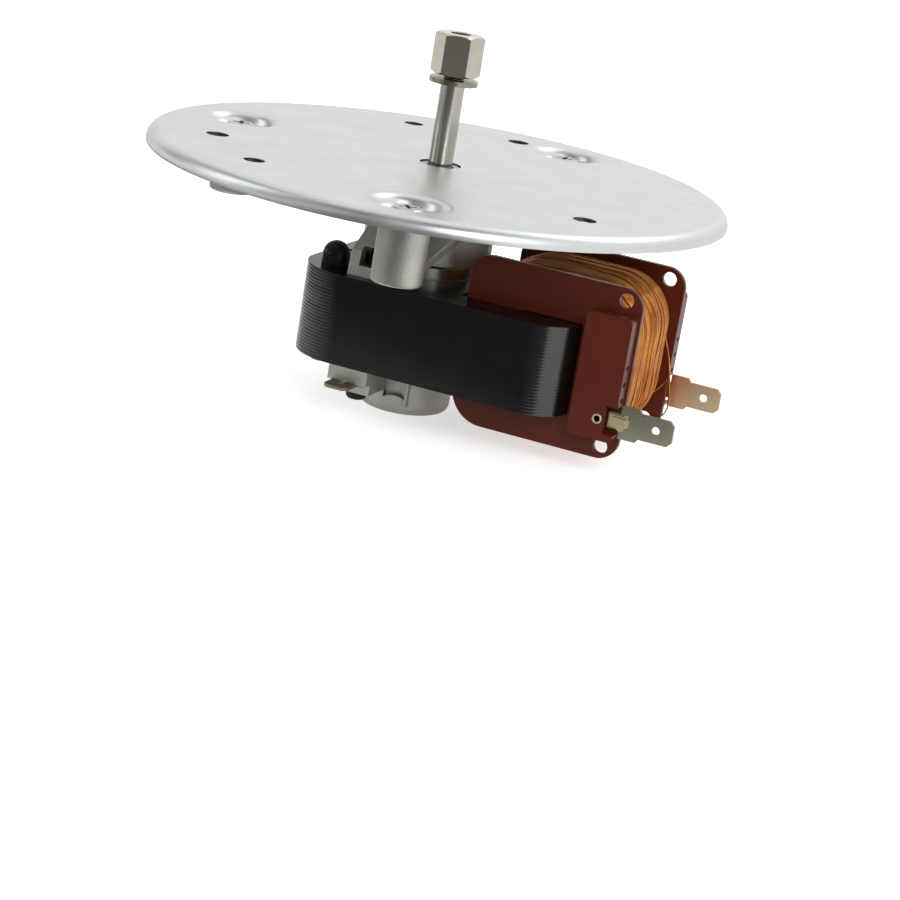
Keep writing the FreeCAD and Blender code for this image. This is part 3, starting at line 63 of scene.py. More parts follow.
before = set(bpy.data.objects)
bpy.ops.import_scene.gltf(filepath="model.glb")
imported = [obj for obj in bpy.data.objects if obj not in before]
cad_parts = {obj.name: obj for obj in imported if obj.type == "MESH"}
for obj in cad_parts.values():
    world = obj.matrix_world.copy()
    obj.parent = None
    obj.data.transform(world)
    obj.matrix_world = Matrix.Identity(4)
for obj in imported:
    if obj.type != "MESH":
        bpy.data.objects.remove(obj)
MM = 0.001
FULL_TURN = 2 * math.pi
# Sockets of the Mix node in its colour mode
MIX_SHARE, MIX_FIRST, MIX_SECOND, MIX_RESULT = 0, 6, 7, 2


def in_mm(node_name):
    """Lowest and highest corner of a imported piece, in millimetres."""
    low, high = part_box(node_name)
    return low / MM, high / MM


WINDING_LOW, WINDING_HIGH = in_mm("coil_winding")
STACK_LOW, STACK_HIGH = in_mm("stator_stack")
BLADE_LOW, BLADE_HIGH = in_mm("terminal_front")
REAR_BLADE_LOW, REAR_BLADE_HIGH = in_mm("terminal_rear")
WASHER_LOW = in_mm("shaft_washer")[0]
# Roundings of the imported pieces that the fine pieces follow
BACK_ROUND = 14.2
LIMB_ROUND = 9.6
COIL_ROUND = 13.5


# Colours and nodes


def linear(hex_text):
    """An sRGB hex colour as linear RGB."""
    shares = [int(hex_text[place:place + 2], 16) / 255 for place in (0, 2, 4)]
    return tuple(s / 12.92 if s <= 0.04045 else ((s + 0.055) / 1.055) ** 2.4 for s in shares)


def add_node(tree, kind, values=None, links=None, **settings):
    """Add a node, set its properties, fill its inputs and link it to its sources."""
    made = tree.nodes.new(kind)
    for name, setting in settings.items():
        setattr(made, name, setting)
    for socket, amount in (values or {}).items():
        made.inputs[socket].default_value = amount
    for socket, source in (links or {}).items():
        tree.links.new(source, made.inputs[socket])
    return made


def blank_finish(name, base, **shader_values):
    """A material with one shader. Returns it with its node tree and the shader."""
    material = bpy.data.materials.new(name)
    material.use_nodes = True
    tree = material.node_tree
    shader = tree.nodes["Principled BSDF"]
    shader.inputs["Base Color"].default_value = (*base, 1.0)
    for socket, amount in shader_values.items():
        shader.inputs[socket.replace("_", " ")].default_value = amount
    return material, tree, shader


def place_on(tree, stretch=(1.0, 1.0, 1.0)):
    """Position on the piece in millimetres, stretched along the axes."""
    spot = add_node(tree, "ShaderNodeTexCoord")
    return add_node(
        tree, "ShaderNodeMapping",
        {"Scale": tuple(s / MM for s in stretch)}, {"Vector": spot.outputs["Object"]},
    ).outputs["Vector"]


def grain(tree, size_mm, stretch=(1.0, 1.0, 1.0), detail=3.0, roughness=0.55):
    """Noise whose spots are about size_mm across."""
    return add_node(
        tree, "ShaderNodeTexNoise",
        {"Scale": 1 / size_mm, "Detail": detail, "Roughness": roughness},
        {"Vector": place_on(tree, stretch)},
    ).outputs["Fac"]


def bands(tree, pitch_mm):
    """Even ridges across Z, one for each pitch."""
    return add_node(
        tree, "ShaderNodeTexWave", {"Scale": math.pi / 10 / pitch_mm}, {"Vector": place_on(tree)},
        wave_type="BANDS", bands_direction="Z", wave_profile="SIN",
    ).outputs["Fac"]


def one_axis(tree, vector, axis):
    """One part of a vector: X, Y or Z."""
    return add_node(tree, "ShaderNodeSeparateXYZ", {}, {"Vector": vector}).outputs[axis]


def reckon(tree, operation, *terms):
    """The result of a sum on terms, each a number or a socket."""
    values = {place: term for place, term in enumerate(terms) if isinstance(term, (int, float))}
    links = {place: term for place, term in enumerate(terms) if place not in values}
    return add_node(tree, "ShaderNodeMath", values, links, operation=operation).outputs["Value"]


def above(tree, level_mm):
    """1 above a height on the piece, and 0 below it."""
    return reckon(tree, "GREATER_THAN", one_axis(tree, place_on(tree), "Z"), level_mm)


def spread(tree, source, low, high, start=0.3, end=0.7):
    """Map a source from start and end onto the values from low to high."""
    return add_node(
        tree, "ShaderNodeMapRange",
        {"From Min": start, "From Max": end, "To Min": low, "To Max": high}, {"Value": source},
    ).outputs["Result"]


def blend(tree, share, first, second):
    """Mix two colours, each linear RGB or a socket, by a share."""
    values = {}
    links = {MIX_SHARE: share}
    for place, colour in ((MIX_FIRST, first), (MIX_SECOND, second)):
        if isinstance(colour, tuple):
            values[place] = (*colour, 1.0)
        else:
            links[place] = colour
    return add_node(tree, "ShaderNodeMix", values, links, data_type="RGBA").outputs[MIX_RESULT]


def tint(tree, shader, source, first, second):
    """Vary the shader's colour between two colours."""
    tree.links.new(blend(tree, source, first, second), shader.inputs["Base Color"])


def bump(tree, height, depth_mm, normal=None):
    """Turn heights into a relief of a depth, over a normal if one is given."""
    links = {"Height": height}
    if normal:
        links["Normal"] = normal
    return add_node(
        tree, "ShaderNodeBump", {"Strength": 1.0, "Distance": depth_mm * MM}, links,
    ).outputs["Normal"]


def relief(tree, shader, heights, edge_mm=0.0):
    """Chain bumps, each a (height source, depth in mm) pair, over edges softened by edge_mm."""
    normal = None
    if edge_mm:
        normal = add_node(tree, "ShaderNodeBevel", {"Radius": edge_mm * MM}, samples=4).outputs["Normal"]
    for source, depth in heights:
        normal = bump(tree, source, depth, normal)
    if normal:
        tree.links.new(normal, shader.inputs["Normal"])


def dress(material, *node_names):
    """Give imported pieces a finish."""
    for name in node_names:
        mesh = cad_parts[name].data
        mesh.materials.clear()
        mesh.materials.append(material)


def new_piece(name, mesh_builder, material, smooth=True):
    """Make a piece from a bmesh filled in millimetres."""
    build = bmesh.new()
    mesh_builder(build)
    bmesh.ops.scale(build, vec=(MM, MM, MM), verts=build.verts)
    mesh = bpy.data.meshes.new(name)
    build.to_mesh(mesh)
    build.free()
    mesh.polygons.foreach_set("use_smooth", [smooth] * len(mesh.polygons))
    mesh.materials.append(material)
    piece = bpy.data.objects.new(name, mesh)
    bpy.context.scene.collection.objects.link(piece)
    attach(piece, "frame")
    return piece


def skin(build, rows, closed=True):
    """Join rows of points with faces. A closed row runs round the piece."""
    rings = [[build.verts.new(point) for point in row] for row in rows]
    for lower, upper in zip(rings, rings[1:]):
        count = len(lower)
        for index in range(count if closed else count - 1):
            after = (index + 1) % count
            build.faces.new((lower[index], lower[after], upper[after], upper[index]))
    return rings


def cap_ends(build, rings):
    """Close the first and last ring of points with a face each."""
    build.faces.new(list(reversed(rings[0])))
    build.faces.new(rings[-1])


def tube(build, path, radius, sides=6):
    """A round wire along a path of points."""
    rows = []
    for index, point in enumerate(path):
        way = (path[min(index + 1, len(path) - 1)] - path[max(index - 1, 0)]).normalized()
        across = way.cross(Vector((0.3, 0.9, 0.2))).normalized()
        over = way.cross(across)
        angles = [FULL_TURN * side / sides for side in range(sides)]
        rows.append([
            point + radius * (math.cos(angle) * across + math.sin(angle) * over) for angle in angles
        ])
    cap_ends(build, skin(build, rows))


def smooth_path(points, steps=6):
    """A soft curve through points."""
    path = []
    count = len(points)
    for index in range(count - 1):
        before, first = points[max(index - 1, 0)], points[index]
        second, after = points[index + 1], points[min(index + 2, count - 1)]
        for step in range(steps):
            share = step / steps
            path.append(0.5 * (
                2 * first + (second - before) * share
                + (2 * before - 5 * first + 4 * second - after) * share ** 2
                + (3 * first - before - 3 * second + after) * share ** 3
            ))
    return path + [points[-1]]


def plate_from(build, corners, near, far):
    """A flat plate with an outline in X and Z, between two depths along Y."""
    rows = [[(x, y, z) for x, z in corners] for y in (near, far)]
    cap_ends(build, skin(build, rows))


def ring_of(build, centre, major, minor, turns=24, sides=8):
    """A round ring that lies across Y, with the radii of the ring and of its section."""
    rows = []
    for turn in range(turns):
        angle = FULL_TURN * turn / turns
        way = Vector((math.cos(angle), 0.0, math.sin(angle)))
        rows.append([
            centre + (major + minor * math.cos(FULL_TURN * side / sides)) * way
            + Vector((0.0, minor * math.sin(FULL_TURN * side / sides), 0.0))
            for side in range(sides)
        ])
    skin(build, rows + rows[:1])
    bmesh.ops.remove_doubles(build, verts=build.verts, dist=0.001)


def bend_points(bends, steps):
    """Points round arcs, each (x, y, radius, first angle, last angle), with the way out."""
    points = []
    for x, y, radius, first, last in bends:
        for step in range(steps + 1):
            angle = math.radians(first + (last - first) * step / steps)
            out = (math.cos(angle), math.sin(angle))
            points.append((x + radius * out[0], y + radius * out[1], out))
    return points


def evenly(points, count):
    """Evenly spaced points round a closed outline."""
    closed = points + points[:1]
    lengths = [0.0]
    for (x, y, _), (next_x, next_y, _) in zip(closed, closed[1:]):
        lengths.append(lengths[-1] + math.hypot(next_x - x, next_y - y))
    found = []
    leg = 0
    for number in range(count):
        target = lengths[-1] * number / count
        while lengths[leg + 1] < target:
            leg += 1
        share = (target - lengths[leg]) / max(lengths[leg + 1] - lengths[leg], 1e-9)
        first, second = closed[leg], closed[leg + 1]
        out = Vector(first[2]).lerp(Vector(second[2]), share).normalized()
        x = first[0] + share * (second[0] - first[0])
        y = first[1] + share * (second[1] - first[1])
        found.append((x, y, out))
    return found


def stack_outline():
    """Points round the outside of the stack, from the rear limb's end to the front one's."""
    left, right, half = STACK_LOW.x, STACK_HIGH.x, STACK_HIGH.y
    return bend_points((
        (right - LIMB_ROUND, half - LIMB_ROUND, LIMB_ROUND, 0, 90),
        (left + BACK_ROUND, half - BACK_ROUND, BACK_ROUND, 90, 180),
        (left + BACK_ROUND, BACK_ROUND - half, BACK_ROUND, 180, 270),
        (right - LIMB_ROUND, LIMB_ROUND - half, LIMB_ROUND, 270, 360),
    ), 18)


def coil_outline(count):
    """Points round the coil in X and Z, at its widest."""
    low, high, bend = WINDING_LOW, WINDING_HIGH, COIL_ROUND
    return evenly(bend_points((
        (high.x - bend, low.z + bend, bend, -90, 0),
        (high.x - bend, high.z - bend, bend, 0, 90),
        (low.x + bend, high.z - bend, bend, 90, 180),
        (low.x + bend, low.z + bend, bend, 180, 270),
    ), 20), count)


# Sizes and colours that a user would change


class MotorSizes(bpy.types.PropertyGroup):
    wire: bpy.props.FloatProperty(
        name="Winding wire",
        description="Pitch of the wires on the coil, drawn a little coarse so that it shows",
        default=0.42 * MM, min=0.2 * MM, unit="LENGTH",
    )
    sheets: bpy.props.IntProperty(
        name="Sheets", description="Sheets in the lamination stack", default=27, min=2,
    )
    thread_pitch: bpy.props.FloatProperty(
        name="Thread pitch", description="Pitch of the thread on the shaft's end",
        default=0.8 * MM, unit="LENGTH",
    )
    crown: bpy.props.FloatProperty(
        name="Coil crown", description="How far the winding swells between the flanges",
        default=1.4 * MM, unit="LENGTH",
    )


class MotorColours(bpy.types.PropertyGroup):
    plate: bpy.props.StringProperty(name="Plate", description="sRGB hex", default="D9DCDA")
    casting: bpy.props.StringProperty(name="Brackets", description="sRGB hex", default="CBCBC4")
    lacquer: bpy.props.StringProperty(name="Stack lacquer", description="sRGB hex", default="100F0E")
    resin: bpy.props.StringProperty(name="Bobbin", description="sRGB hex", default="5E2515")
    copper: bpy.props.StringProperty(name="Winding", description="sRGB hex", default="DB9038")


# Finishes


# The plate's holes lie nearer the axis than this, in mm, and its rim lies farther
HOLES_REACH = 66.0


def punched_walls(tree, inner_mm):
    """1 on upright faces nearer the axis than inner_mm, such as the walls of holes."""
    face = add_node(tree, "ShaderNodeNewGeometry").outputs["True Normal"]
    steep = reckon(tree, "COMPARE", one_axis(tree, face, "Z"), 0.0, 0.4)
    flat = add_node(
        tree, "ShaderNodeVectorMath", {1: (1.0, 1.0, 0.0)}, {0: place_on(tree)}, operation="MULTIPLY",
    )
    reach = add_node(tree, "ShaderNodeVectorMath", {}, {0: flat.outputs["Vector"]}, operation="LENGTH")
    inner = reckon(tree, "LESS_THAN", reach.outputs["Value"], inner_mm)
    return reckon(tree, "MULTIPLY", steep, inner)


def aluminised_sheet(hex_text):
    """Aluminised steel sheet, cold rolled and pressed: pale, satin, with faint rolling lines along X."""
    material, tree, shader = blank_finish("aluminised steel sheet, pressed", linear(hex_text), Metallic=1.0)
    # The lines are drawn at 0.5 mm, coarser than a mill leaves them, so that they show
    lines = grain(tree, 0.5, (0.02, 1.0, 1.0))
    cloud = grain(tree, 14.0, detail=2.0)
    tree.links.new(spread(tree, cloud, 0.34, 0.44), shader.inputs["Roughness"])
    tint(tree, shader, cloud, linear(hex_text), linear("CDD0CD"))
    # The punched holes' walls show the bare steel of the sheet, painted dark as well for the shade inside the
    # holes
    coated = shader.inputs["Base Color"].links[0].from_socket
    cut = blend(tree, punched_walls(tree, HOLES_REACH), coated, linear("5E5C54"))
    tree.links.new(cut, shader.inputs["Base Color"])
    relief(tree, shader, [(lines, 0.004)], edge_mm=0.25)
    return material


def cast_aluminium(hex_text):
    """Aluminium, die cast and blasted: a dull bright skin with fine pits about 0.4 mm across."""
    material, tree, shader = blank_finish("aluminium, die cast and blasted", linear(hex_text), Metallic=1.0)
    pits = grain(tree, 0.4, detail=2.0)
    flow = grain(tree, 6.0)
    tree.links.new(spread(tree, pits, 0.38, 0.54), shader.inputs["Roughness"])
    tint(tree, shader, flow, linear(hex_text), linear("A6A69E"))
    relief(tree, shader, [(pits, 0.09)], edge_mm=0.5)
    return material


def baked_lacquer(hex_text, name="baking lacquer on lamination steel", rough=(0.18, 0.26)):
    """Black baking lacquer, dipped: a soft gloss."""
    material, tree, shader = blank_finish(name, linear(hex_text), Specular_IOR_Level=0.25)
    runs = grain(tree, 5.0, detail=1.0)
    tree.links.new(spread(tree, runs, *rough, 0.0, 1.0), shader.inputs["Roughness"])
    tint(tree, shader, runs, linear(hex_text), linear("161513"))
    relief(tree, shader, [], edge_mm=0.15)
    return material


def thin_lacquer(hex_text):
    """The same lacquer where it thins out round the stack's bends and the steel brightens it."""
    material = baked_lacquer(hex_text, "baking lacquer, thin over sheet edges", (0.13, 0.2))
    tree = material.node_tree
    facing = add_node(tree, "ShaderNodeTexCoord").outputs["Normal"]
    turned = reckon(tree, "ABSOLUTE", one_axis(tree, facing, "X"))
    level = spread(tree, turned, 0.25, 0.95, 0.05, 0.55)
    tree.links.new(level, tree.nodes["Principled BSDF"].inputs["Specular IOR Level"])
    return material


def moulded_resin(hex_text):
    """Glass-filled polyester, moulded: warm brown gloss with a faint flow."""
    material, tree, shader = blank_finish(
        "glass-filled polyester, moulded", linear(hex_text), Specular_IOR_Level=0.2,
    )
    flow = grain(tree, 9.0, (1.0, 1.0, 0.4), detail=1.0)
    tree.links.new(spread(tree, flow, 0.22, 0.38, 0.0, 1.0), shader.inputs["Roughness"])
    tint(tree, shader, flow, linear(hex_text), linear("561F12"))
    relief(tree, shader, [], edge_mm=0.3)
    return material


def enamelled_copper(hex_text):
    """Copper wire under amber enamel, wound: each turn a slightly different gold."""
    material, tree, shader = blank_finish(
        "copper wire, amber enamel", linear(hex_text), Metallic=0.9, Roughness=0.26,
        Coat_Weight=0.5, Coat_Roughness=0.1,
    )
    # As wide as a drawn turn, in mm, which is a little coarse
    turns = grain(tree, 0.42, (0.03, 1.0, 0.03), detail=1.0)
    cloud = grain(tree, 7.0)
    both = reckon(tree, "MULTIPLY", turns, cloud)
    tint(tree, shader, spread(tree, both, 0.0, 1.0, 0.12, 0.40), linear("A35A1A"), linear(hex_text))
    return material


def plain_metal(name, hex_text, rough=(0.2, 0.3), edge_mm=0.15, lines=(1.0, 1.0, 1.0), depth=0.003):
    """A metal with machining or drawing marks, at 0.3 mm a little coarse so that they show."""
    material, tree, shader = blank_finish(name, linear(hex_text), Metallic=1.0)
    marks = grain(tree, 0.3, lines)
    tree.links.new(spread(tree, marks, *rough), shader.inputs["Roughness"])
    dull = tuple(share * 0.82 for share in linear(hex_text))
    tint(tree, shader, grain(tree, 3.0), linear(hex_text), dull)
    relief(tree, shader, [(marks, depth)], edge_mm=edge_mm)
    return material


def soft_finish(name, hex_text, size_mm, depth):
    """A matt fibrous finish, such as felt or fibre board."""
    material, tree, shader = blank_finish(name, linear(hex_text), Roughness=0.9)
    fibres = grain(tree, size_mm, detail=5.0)
    dark = tuple(share * 0.6 for share in linear(hex_text))
    tint(tree, shader, fibres, dark, linear(hex_text))
    relief(tree, shader, [(fibres, depth)])
    return material


# Operators


# Outlines of a terminal's crimp and its claw from the blade's inner end and middle line, in mm
CRIMP_OUTLINE = (
    (0.3, -1.5), (2.2, -1.5), (3.1, -2.3), (4.0, -2.3), (4.3, -1.2), (5.2, -1.1),
    (5.4, 0.6), (5.0, 1.2), (5.0, 2.0), (4.2, 2.0), (3.9, 1.5), (0.3, 1.7),
)
CLAW_OUTLINE = ((1.3, -1.1), (4.4, -1.3), (4.8, -0.7), (4.6, 0.9), (1.4, 1.1))
CRIMP_THICK = 0.35
CLAW_THICK = 0.8
# Paths and radii of the winding's ends, and of a loose thread of wire by the rear one, in mm
WIRE_ENDS = (
    (((56.6, 13.4, -22.6), (58.3, 14.0, -25.8), (60.3, 14.3, -31.7), (62.1, 15.0, -37.2), (63.0, 16.0, -42.5),
      (63.4, 17.0, -46.2), (63.7, 17.4, -48.6), (63.4, 17.2, -51.0), (62.7, 16.8, -52.7)), 0.19),
    (((57.5, 15.2, -46.4), (59.3, 14.6, -46.9), (60.7, 15.4, -45.8), (62.4, 16.2, -43.2)), 0.11),
    (((59.6, -14.2, -41.5), (61.4, -15.0, -43.6), (62.8, -16.6, -44.9), (63.4, -18.0, -45.6)), 0.19),
)
# The hollow pin ends, on the outer faces of the bobbin's blocks, in mm
PIN_X = 57.5
BLOCK_FACE = 22.47
PIN_RADIUS = 1.0
PIN_WALL = 0.28
# The winding, in mm: how far it lies inside its outline, how far a turn sinks, sways and sags
COIL_INSET = 0.06
TURN_SINKS = 0.07
LAYER_SINKS = (0.0, 0.0, 0.16, 0.28)
TURN_SWAYS = 0.22
TURN_RIPPLES = 0.10
TURN_SAGS = 0.05
# Depth of the groove between two turns, as a share of the pitch
GROOVE_SHARE = 0.45
# Single wires across the winding, in mm
STRANDS = 26
STRAND_RADIUS = 0.17
STRAND_REACH = 15.6
STRAND_DIVE = 0.35
# Depth of the thread's relief, in mm
THREAD_DEPTH = 0.4
# How far a sheet's edge stands out of the stack, in mm: the least on every sheet, and the range of the rest
SHEET_LIP = 0.004
SHEET_LIFTS = (0.03, 0.055)


class MOTOR_OT_plate(bpy.types.Operator):
    """Finish the pressed mounting plate and its screws."""

    bl_idname = "motor.plate"
    bl_label = "Mounting plate and screws"

    def execute(self, context):
        dress(aluminised_sheet(context.scene.motor_colours.plate), "mounting_plate")
        # Zinc plated steel, cold headed: brighter and yellower than the plate
        dress(plain_metal("zinc plated steel, cold headed", "C9C7C0", (0.22, 0.36)), "plate_screws")
        return {"FINISHED"}


class MOTOR_OT_brackets(bpy.types.Operator):
    """Finish both cast brackets."""

    bl_idname = "motor.brackets"
    bl_label = "Cast brackets"

    def execute(self, context):
        dress(cast_aluminium(context.scene.motor_colours.casting), "upper_bracket", "lower_bracket")
        return {"FINISHED"}


class MOTOR_OT_stack(bpy.types.Operator):
    """Lacquer the stack and draw the edges of its sheets."""

    bl_idname = "motor.stack"
    bl_label = "Lamination stack"

    def execute(self, context):
        black = context.scene.motor_colours.lacquer
        dress(baked_lacquer(black), "stator_stack", "coil_core")
        thin = thin_lacquer(black)
        sheets = context.scene.motor_sizes.sheets
        new_piece("sheet_edges", lambda build: self.draw_edges(build, sheets), thin)
        return {"FINISHED"}

    def draw_edges(self, build, sheets):
        """The sheets' edges round the bends. The lacquer fills the gaps on the straight runs."""
        pitch = (STACK_HIGH.z - STACK_LOW.z) / sheets
        chance = random.Random(11)
        lifts = [chance.uniform(*SHEET_LIFTS) for _ in range(sheets)]
        outline = stack_outline()
        bend = len(outline) // 4
        for run in (outline[:bend], outline[bend:3 * bend], outline[3 * bend:]):
            rows = []
            for sheet, lift in enumerate(lifts):
                low = STACK_LOW.z + sheet * pitch
                for share, proud in ((0.03, 0.0), (0.16, lift), (0.84, lift), (0.97, 0.0)):
                    row = []
                    for x, y, out in run:
                        lip = SHEET_LIP + proud * min(1.0, 0.05 + 2.0 * abs(out[0]))
                        row.append((x + out[0] * lip, y + out[1] * lip, low + share * pitch))
                    rows.append(row)
            skin(build, rows, closed=False)


class MOTOR_OT_coil(bpy.types.Operator):
    """Wind the coil turn by turn and lead its ends to the terminals."""

    bl_idname = "motor.coil"
    bl_label = "Winding and leads"

    def execute(self, context):
        sizes = context.scene.motor_sizes
        copper = enamelled_copper(context.scene.motor_colours.copper)
        self.crown = sizes.crown / MM
        self.outline = coil_outline(84)
        pitch = sizes.wire / MM
        winding = new_piece("wound_coil", lambda build: self.wind(build, pitch), copper)
        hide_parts("coil_winding")
        new_piece("loose_strands", self.lay_strands, copper)
        ends = new_piece("wire_ends", self.lead_out, copper)
        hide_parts("coil_leads")
        return {"FINISHED"}

    def lead_out(self, build):
        """The winding's two ends, taken down to the roots of the terminals, and the loose thread."""
        for points, radius in WIRE_ENDS:
            tube(build, smooth_path([Vector(point) for point in points]), radius, sides=8)

    def depth(self, y):
        """How far the winding lies inside its widest outline at a place along Y."""
        share = y / WINDING_HIGH.y
        return COIL_INSET + self.crown * share * share

    def wind(self, build, pitch):
        """The winding's outer skin: one ridge for each turn, with some turns a layer lower."""
        across = WINDING_HIGH.y - WINDING_LOW.y
        turns = round(across / pitch)
        rows_per_turn = 4
        chance = random.Random(4)
        sunk = [chance.uniform(0.0, TURN_SINKS) for _ in range(turns + 1)]
        layer = 0.0
        for turn in range(turns + 1):
            if chance.random() < 0.3:
                layer = chance.choice(LAYER_SINKS)
            sunk[turn] += layer
        rows = []
        for row in range(turns * rows_per_turn + 1):
            turn, within = divmod(row, rows_per_turn)
            y = WINDING_LOW.y + across * row / (turns * rows_per_turn)
            groove = GROOVE_SHARE * pitch * (1 - math.sin(math.pi * within / rows_per_turn))
            free = 1 - (y / WINDING_HIGH.y) ** 4
            ring = []
            for number, (x, z, out) in enumerate(self.outline):
                angle = FULL_TURN * number / len(self.outline)
                sway = TURN_SWAYS * math.sin(angle + 0.13 * turn)
                sway += TURN_RIPPLES * math.sin(3 * angle + 0.31 * turn)
                sag = TURN_SAGS * (1 + math.sin(2 * angle + 0.4 * turn))
                inset = self.depth(y) + sunk[turn] + groove + sag
                ring.append((x - out[0] * inset, y + free * sway, z - out[1] * inset))
            # The outline runs the other way round, so the faces look outwards when it is reversed
            rows.append(ring[::-1])
        cap_ends(build, skin(build, rows))

    def lay_strands(self, build):
        """Single wires that cross the winding at a slant."""
        chance = random.Random(9)
        count = len(self.outline)
        for _ in range(STRANDS):
            first = chance.randrange(count)
            length = chance.randrange(24, 52)
            y = chance.uniform(-12.0, 12.0)
            drift = chance.uniform(-4.5, 4.5)
            path = []
            for step in range(length):
                x, z, out = self.outline[(first + step) % count]
                share = step / (length - 1)
                at = max(-STRAND_REACH, min(STRAND_REACH, y + drift * share))
                # Each end of a strand dives under the turns
                dive = STRAND_DIVE * max(0.0, abs(2 * share - 1) - 0.8) / 0.2
                inset = self.depth(at) + dive
                path.append(Vector((x - out[0] * inset, at, z - out[1] * inset)))
            tube(build, path, STRAND_RADIUS)


class MOTOR_OT_bobbin(bpy.types.Operator):
    """Finish the moulded bobbin."""

    bl_idname = "motor.bobbin"
    bl_label = "Bobbin"

    def execute(self, context):
        dress(moulded_resin(context.scene.motor_colours.resin), "bobbin")
        return {"FINISHED"}


class MOTOR_OT_terminals(bpy.types.Operator):
    """Finish the three blade terminals, and add the crimps and the pins' hollow ends."""

    bl_idname = "motor.terminals"
    bl_label = "Blade terminals"

    def execute(self, context):
        # Tinned brass, stamped: cool grey with a soft gloss
        dress(plain_metal("tinned brass, stamped", "A8A491", (0.24, 0.38), depth=0.001), "terminal_front")
        # The rear blade is drawn warmer than the front one, most at its root
        thin = plain_metal("tinned brass, stamped, warmer at the root", "D8C2A2", (0.26, 0.4), depth=0.001)
        self.warm_root(thin.node_tree)
        dress(thin, "terminal_rear")
        # Brass gone olive in the bending and the air
        dress(plain_metal("brass, stamped and aged", "8C8160", (0.26, 0.4)), "earth_terminal")
        # Pale brass, folded: the claws that close on the wire, and the pins' hollow ends
        claws = plain_metal("pale brass, folded", "DDD0A6", (0.28, 0.42))
        for name, low, high, side in (
            ("front", BLADE_LOW, BLADE_HIGH, -1),
            ("rear", REAR_BLADE_LOW, REAR_BLADE_HIGH, 1),
        ):
            face = low.y if side < 0 else high.y
            middle = (low.z + high.z) / 2
            pin = Vector((PIN_X, side * BLOCK_FACE, middle))
            new_piece(
                "crimp_" + name, lambda build: self.fold(build, low.x, face, middle, side),
                claws, smooth=False,
            )
            new_piece(
                "pin_end_" + name, lambda build: ring_of(build, pin, PIN_RADIUS, PIN_WALL),
                claws,
            )
        return {"FINISHED"}

    def warm_root(self, tree):
        """Fade from copper red at the blade's root to its own colour."""
        shader = tree.nodes["Principled BSDF"]
        own = shader.inputs["Base Color"].links[0].from_socket
        reach = one_axis(tree, place_on(tree), "X")
        share = spread(tree, reach, 0.0, 1.0, REAR_BLADE_LOW.x + 3.0, REAR_BLADE_HIGH.x - 6.0)
        tree.links.new(blend(tree, share, linear("E6AC82"), own), shader.inputs["Base Color"])

    def fold(self, build, inner, face, middle, side):
        """The crimp: a flat sheet in its outline on the blade's outer face, with a raised claw on it."""
        for outline, thick in ((CRIMP_OUTLINE, CRIMP_THICK), (CLAW_OUTLINE, CLAW_THICK)):
            corners = [(inner + x, middle + z) for x, z in outline]
            plate_from(build, corners[::-side], face, face + side * thick)


class MOTOR_OT_shaft_end(bpy.types.Operator):
    """Finish the shaft, its washer and its nut."""

    bl_idname = "motor.shaft_end"
    bl_label = "Shaft, washer and nut"

    def execute(self, context):
        # Steel, centreless ground: a bright streak along the shaft
        ground = plain_metal(
            "steel, centreless ground, thread cut", "B7B4AC", (0.14, 0.24), lines=(1.0, 1.0, 8.0),
        )
        self.cut_thread(ground.node_tree, context.scene.motor_sizes.thread_pitch / MM)
        dress(ground, "shaft")
        # Nickel plated steel, turned from hexagon bar: warm and bright, with sharp lights on its flats
        dress(plain_metal("nickel plated steel, turned", "C6C2B4", (0.12, 0.22)), "shaft_nut")
        # Zinc plated steel, stamped: duller and browner than the nut
        dress(plain_metal("zinc plated steel, stamped", "9C9784", (0.2, 0.32)), "shaft_washer")
        return {"FINISHED"}

    def cut_thread(self, tree, pitch):
        """Ridges of the thread on the shaft above its shoulder."""
        shader = tree.nodes["Principled BSDF"]
        ridges = reckon(tree, "MULTIPLY", bands(tree, pitch), above(tree, WASHER_LOW.z))
        ground = shader.inputs["Normal"].links[0].from_socket
        tree.links.new(bump(tree, ridges, THREAD_DEPTH, ground), shader.inputs["Normal"])


class MOTOR_OT_rotor(bpy.types.Operator):
    """Finish the rotor, its bearings and the pieces round them."""

    bl_idname = "motor.rotor"
    bl_label = "Rotor and bearings"

    def execute(self, context):
        # Lamination steel, turned after stacking: mid grey with fine rings round it
        turned = plain_metal("lamination steel, turned", "84837F", (0.3, 0.45), lines=(0.2, 0.2, 6.0))
        dress(turned, "rotor_core")
        # Aluminium, pressure cast into the rotor: pale and satin
        dress(plain_metal("aluminium, pressure cast", "D2D2CE", (0.25, 0.4)), "rotor_cage")
        # Copper bar, bent and welded: brown red, a little dull
        dress(plain_metal("copper bar, bent and welded", "B87352", (0.28, 0.42)), "shading_rings")
        # Bronze powder, pressed and oiled: dark gold with fine pores
        dress(plain_metal("bronze, sintered and oiled", "8F6E44", (0.4, 0.6), depth=0.02),
              "upper_bearing", "lower_bearing")
        # Spring steel, stamped: cool grey and smooth
        dress(plain_metal("spring steel, stamped", "8C8F92", (0.25, 0.35)), "upper_cap", "lower_cap")
        # Wool felt soaked in oil: matt and fibrous
        dress(soft_finish("wool felt, oiled", "9C8A5E", 0.35, 0.12), "upper_felt", "lower_felt")
        # Vulcanised fibre: a matt red brown board
        dress(soft_finish("vulcanised fibre, stamped", "7A3A24", 0.25, 0.02),
              "upper_thrust_washer", "lower_thrust_washer")
        return {"FINISHED"}


class MOTOR_OT_fastenings(bpy.types.Operator):
    """Finish the bracket bolts, their nuts and the stack rivets."""

    bl_idname = "motor.fastenings"
    bl_label = "Bolts, nuts and rivets"

    def execute(self, context):
        # Steel dipped in black lacquer: a soft gloss over dark heads
        black = baked_lacquer("0F0F0F", "black lacquer on steel")
        dress(black, "bracket_bolts", "bracket_nuts", "stack_rivets")
        return {"FINISHED"}


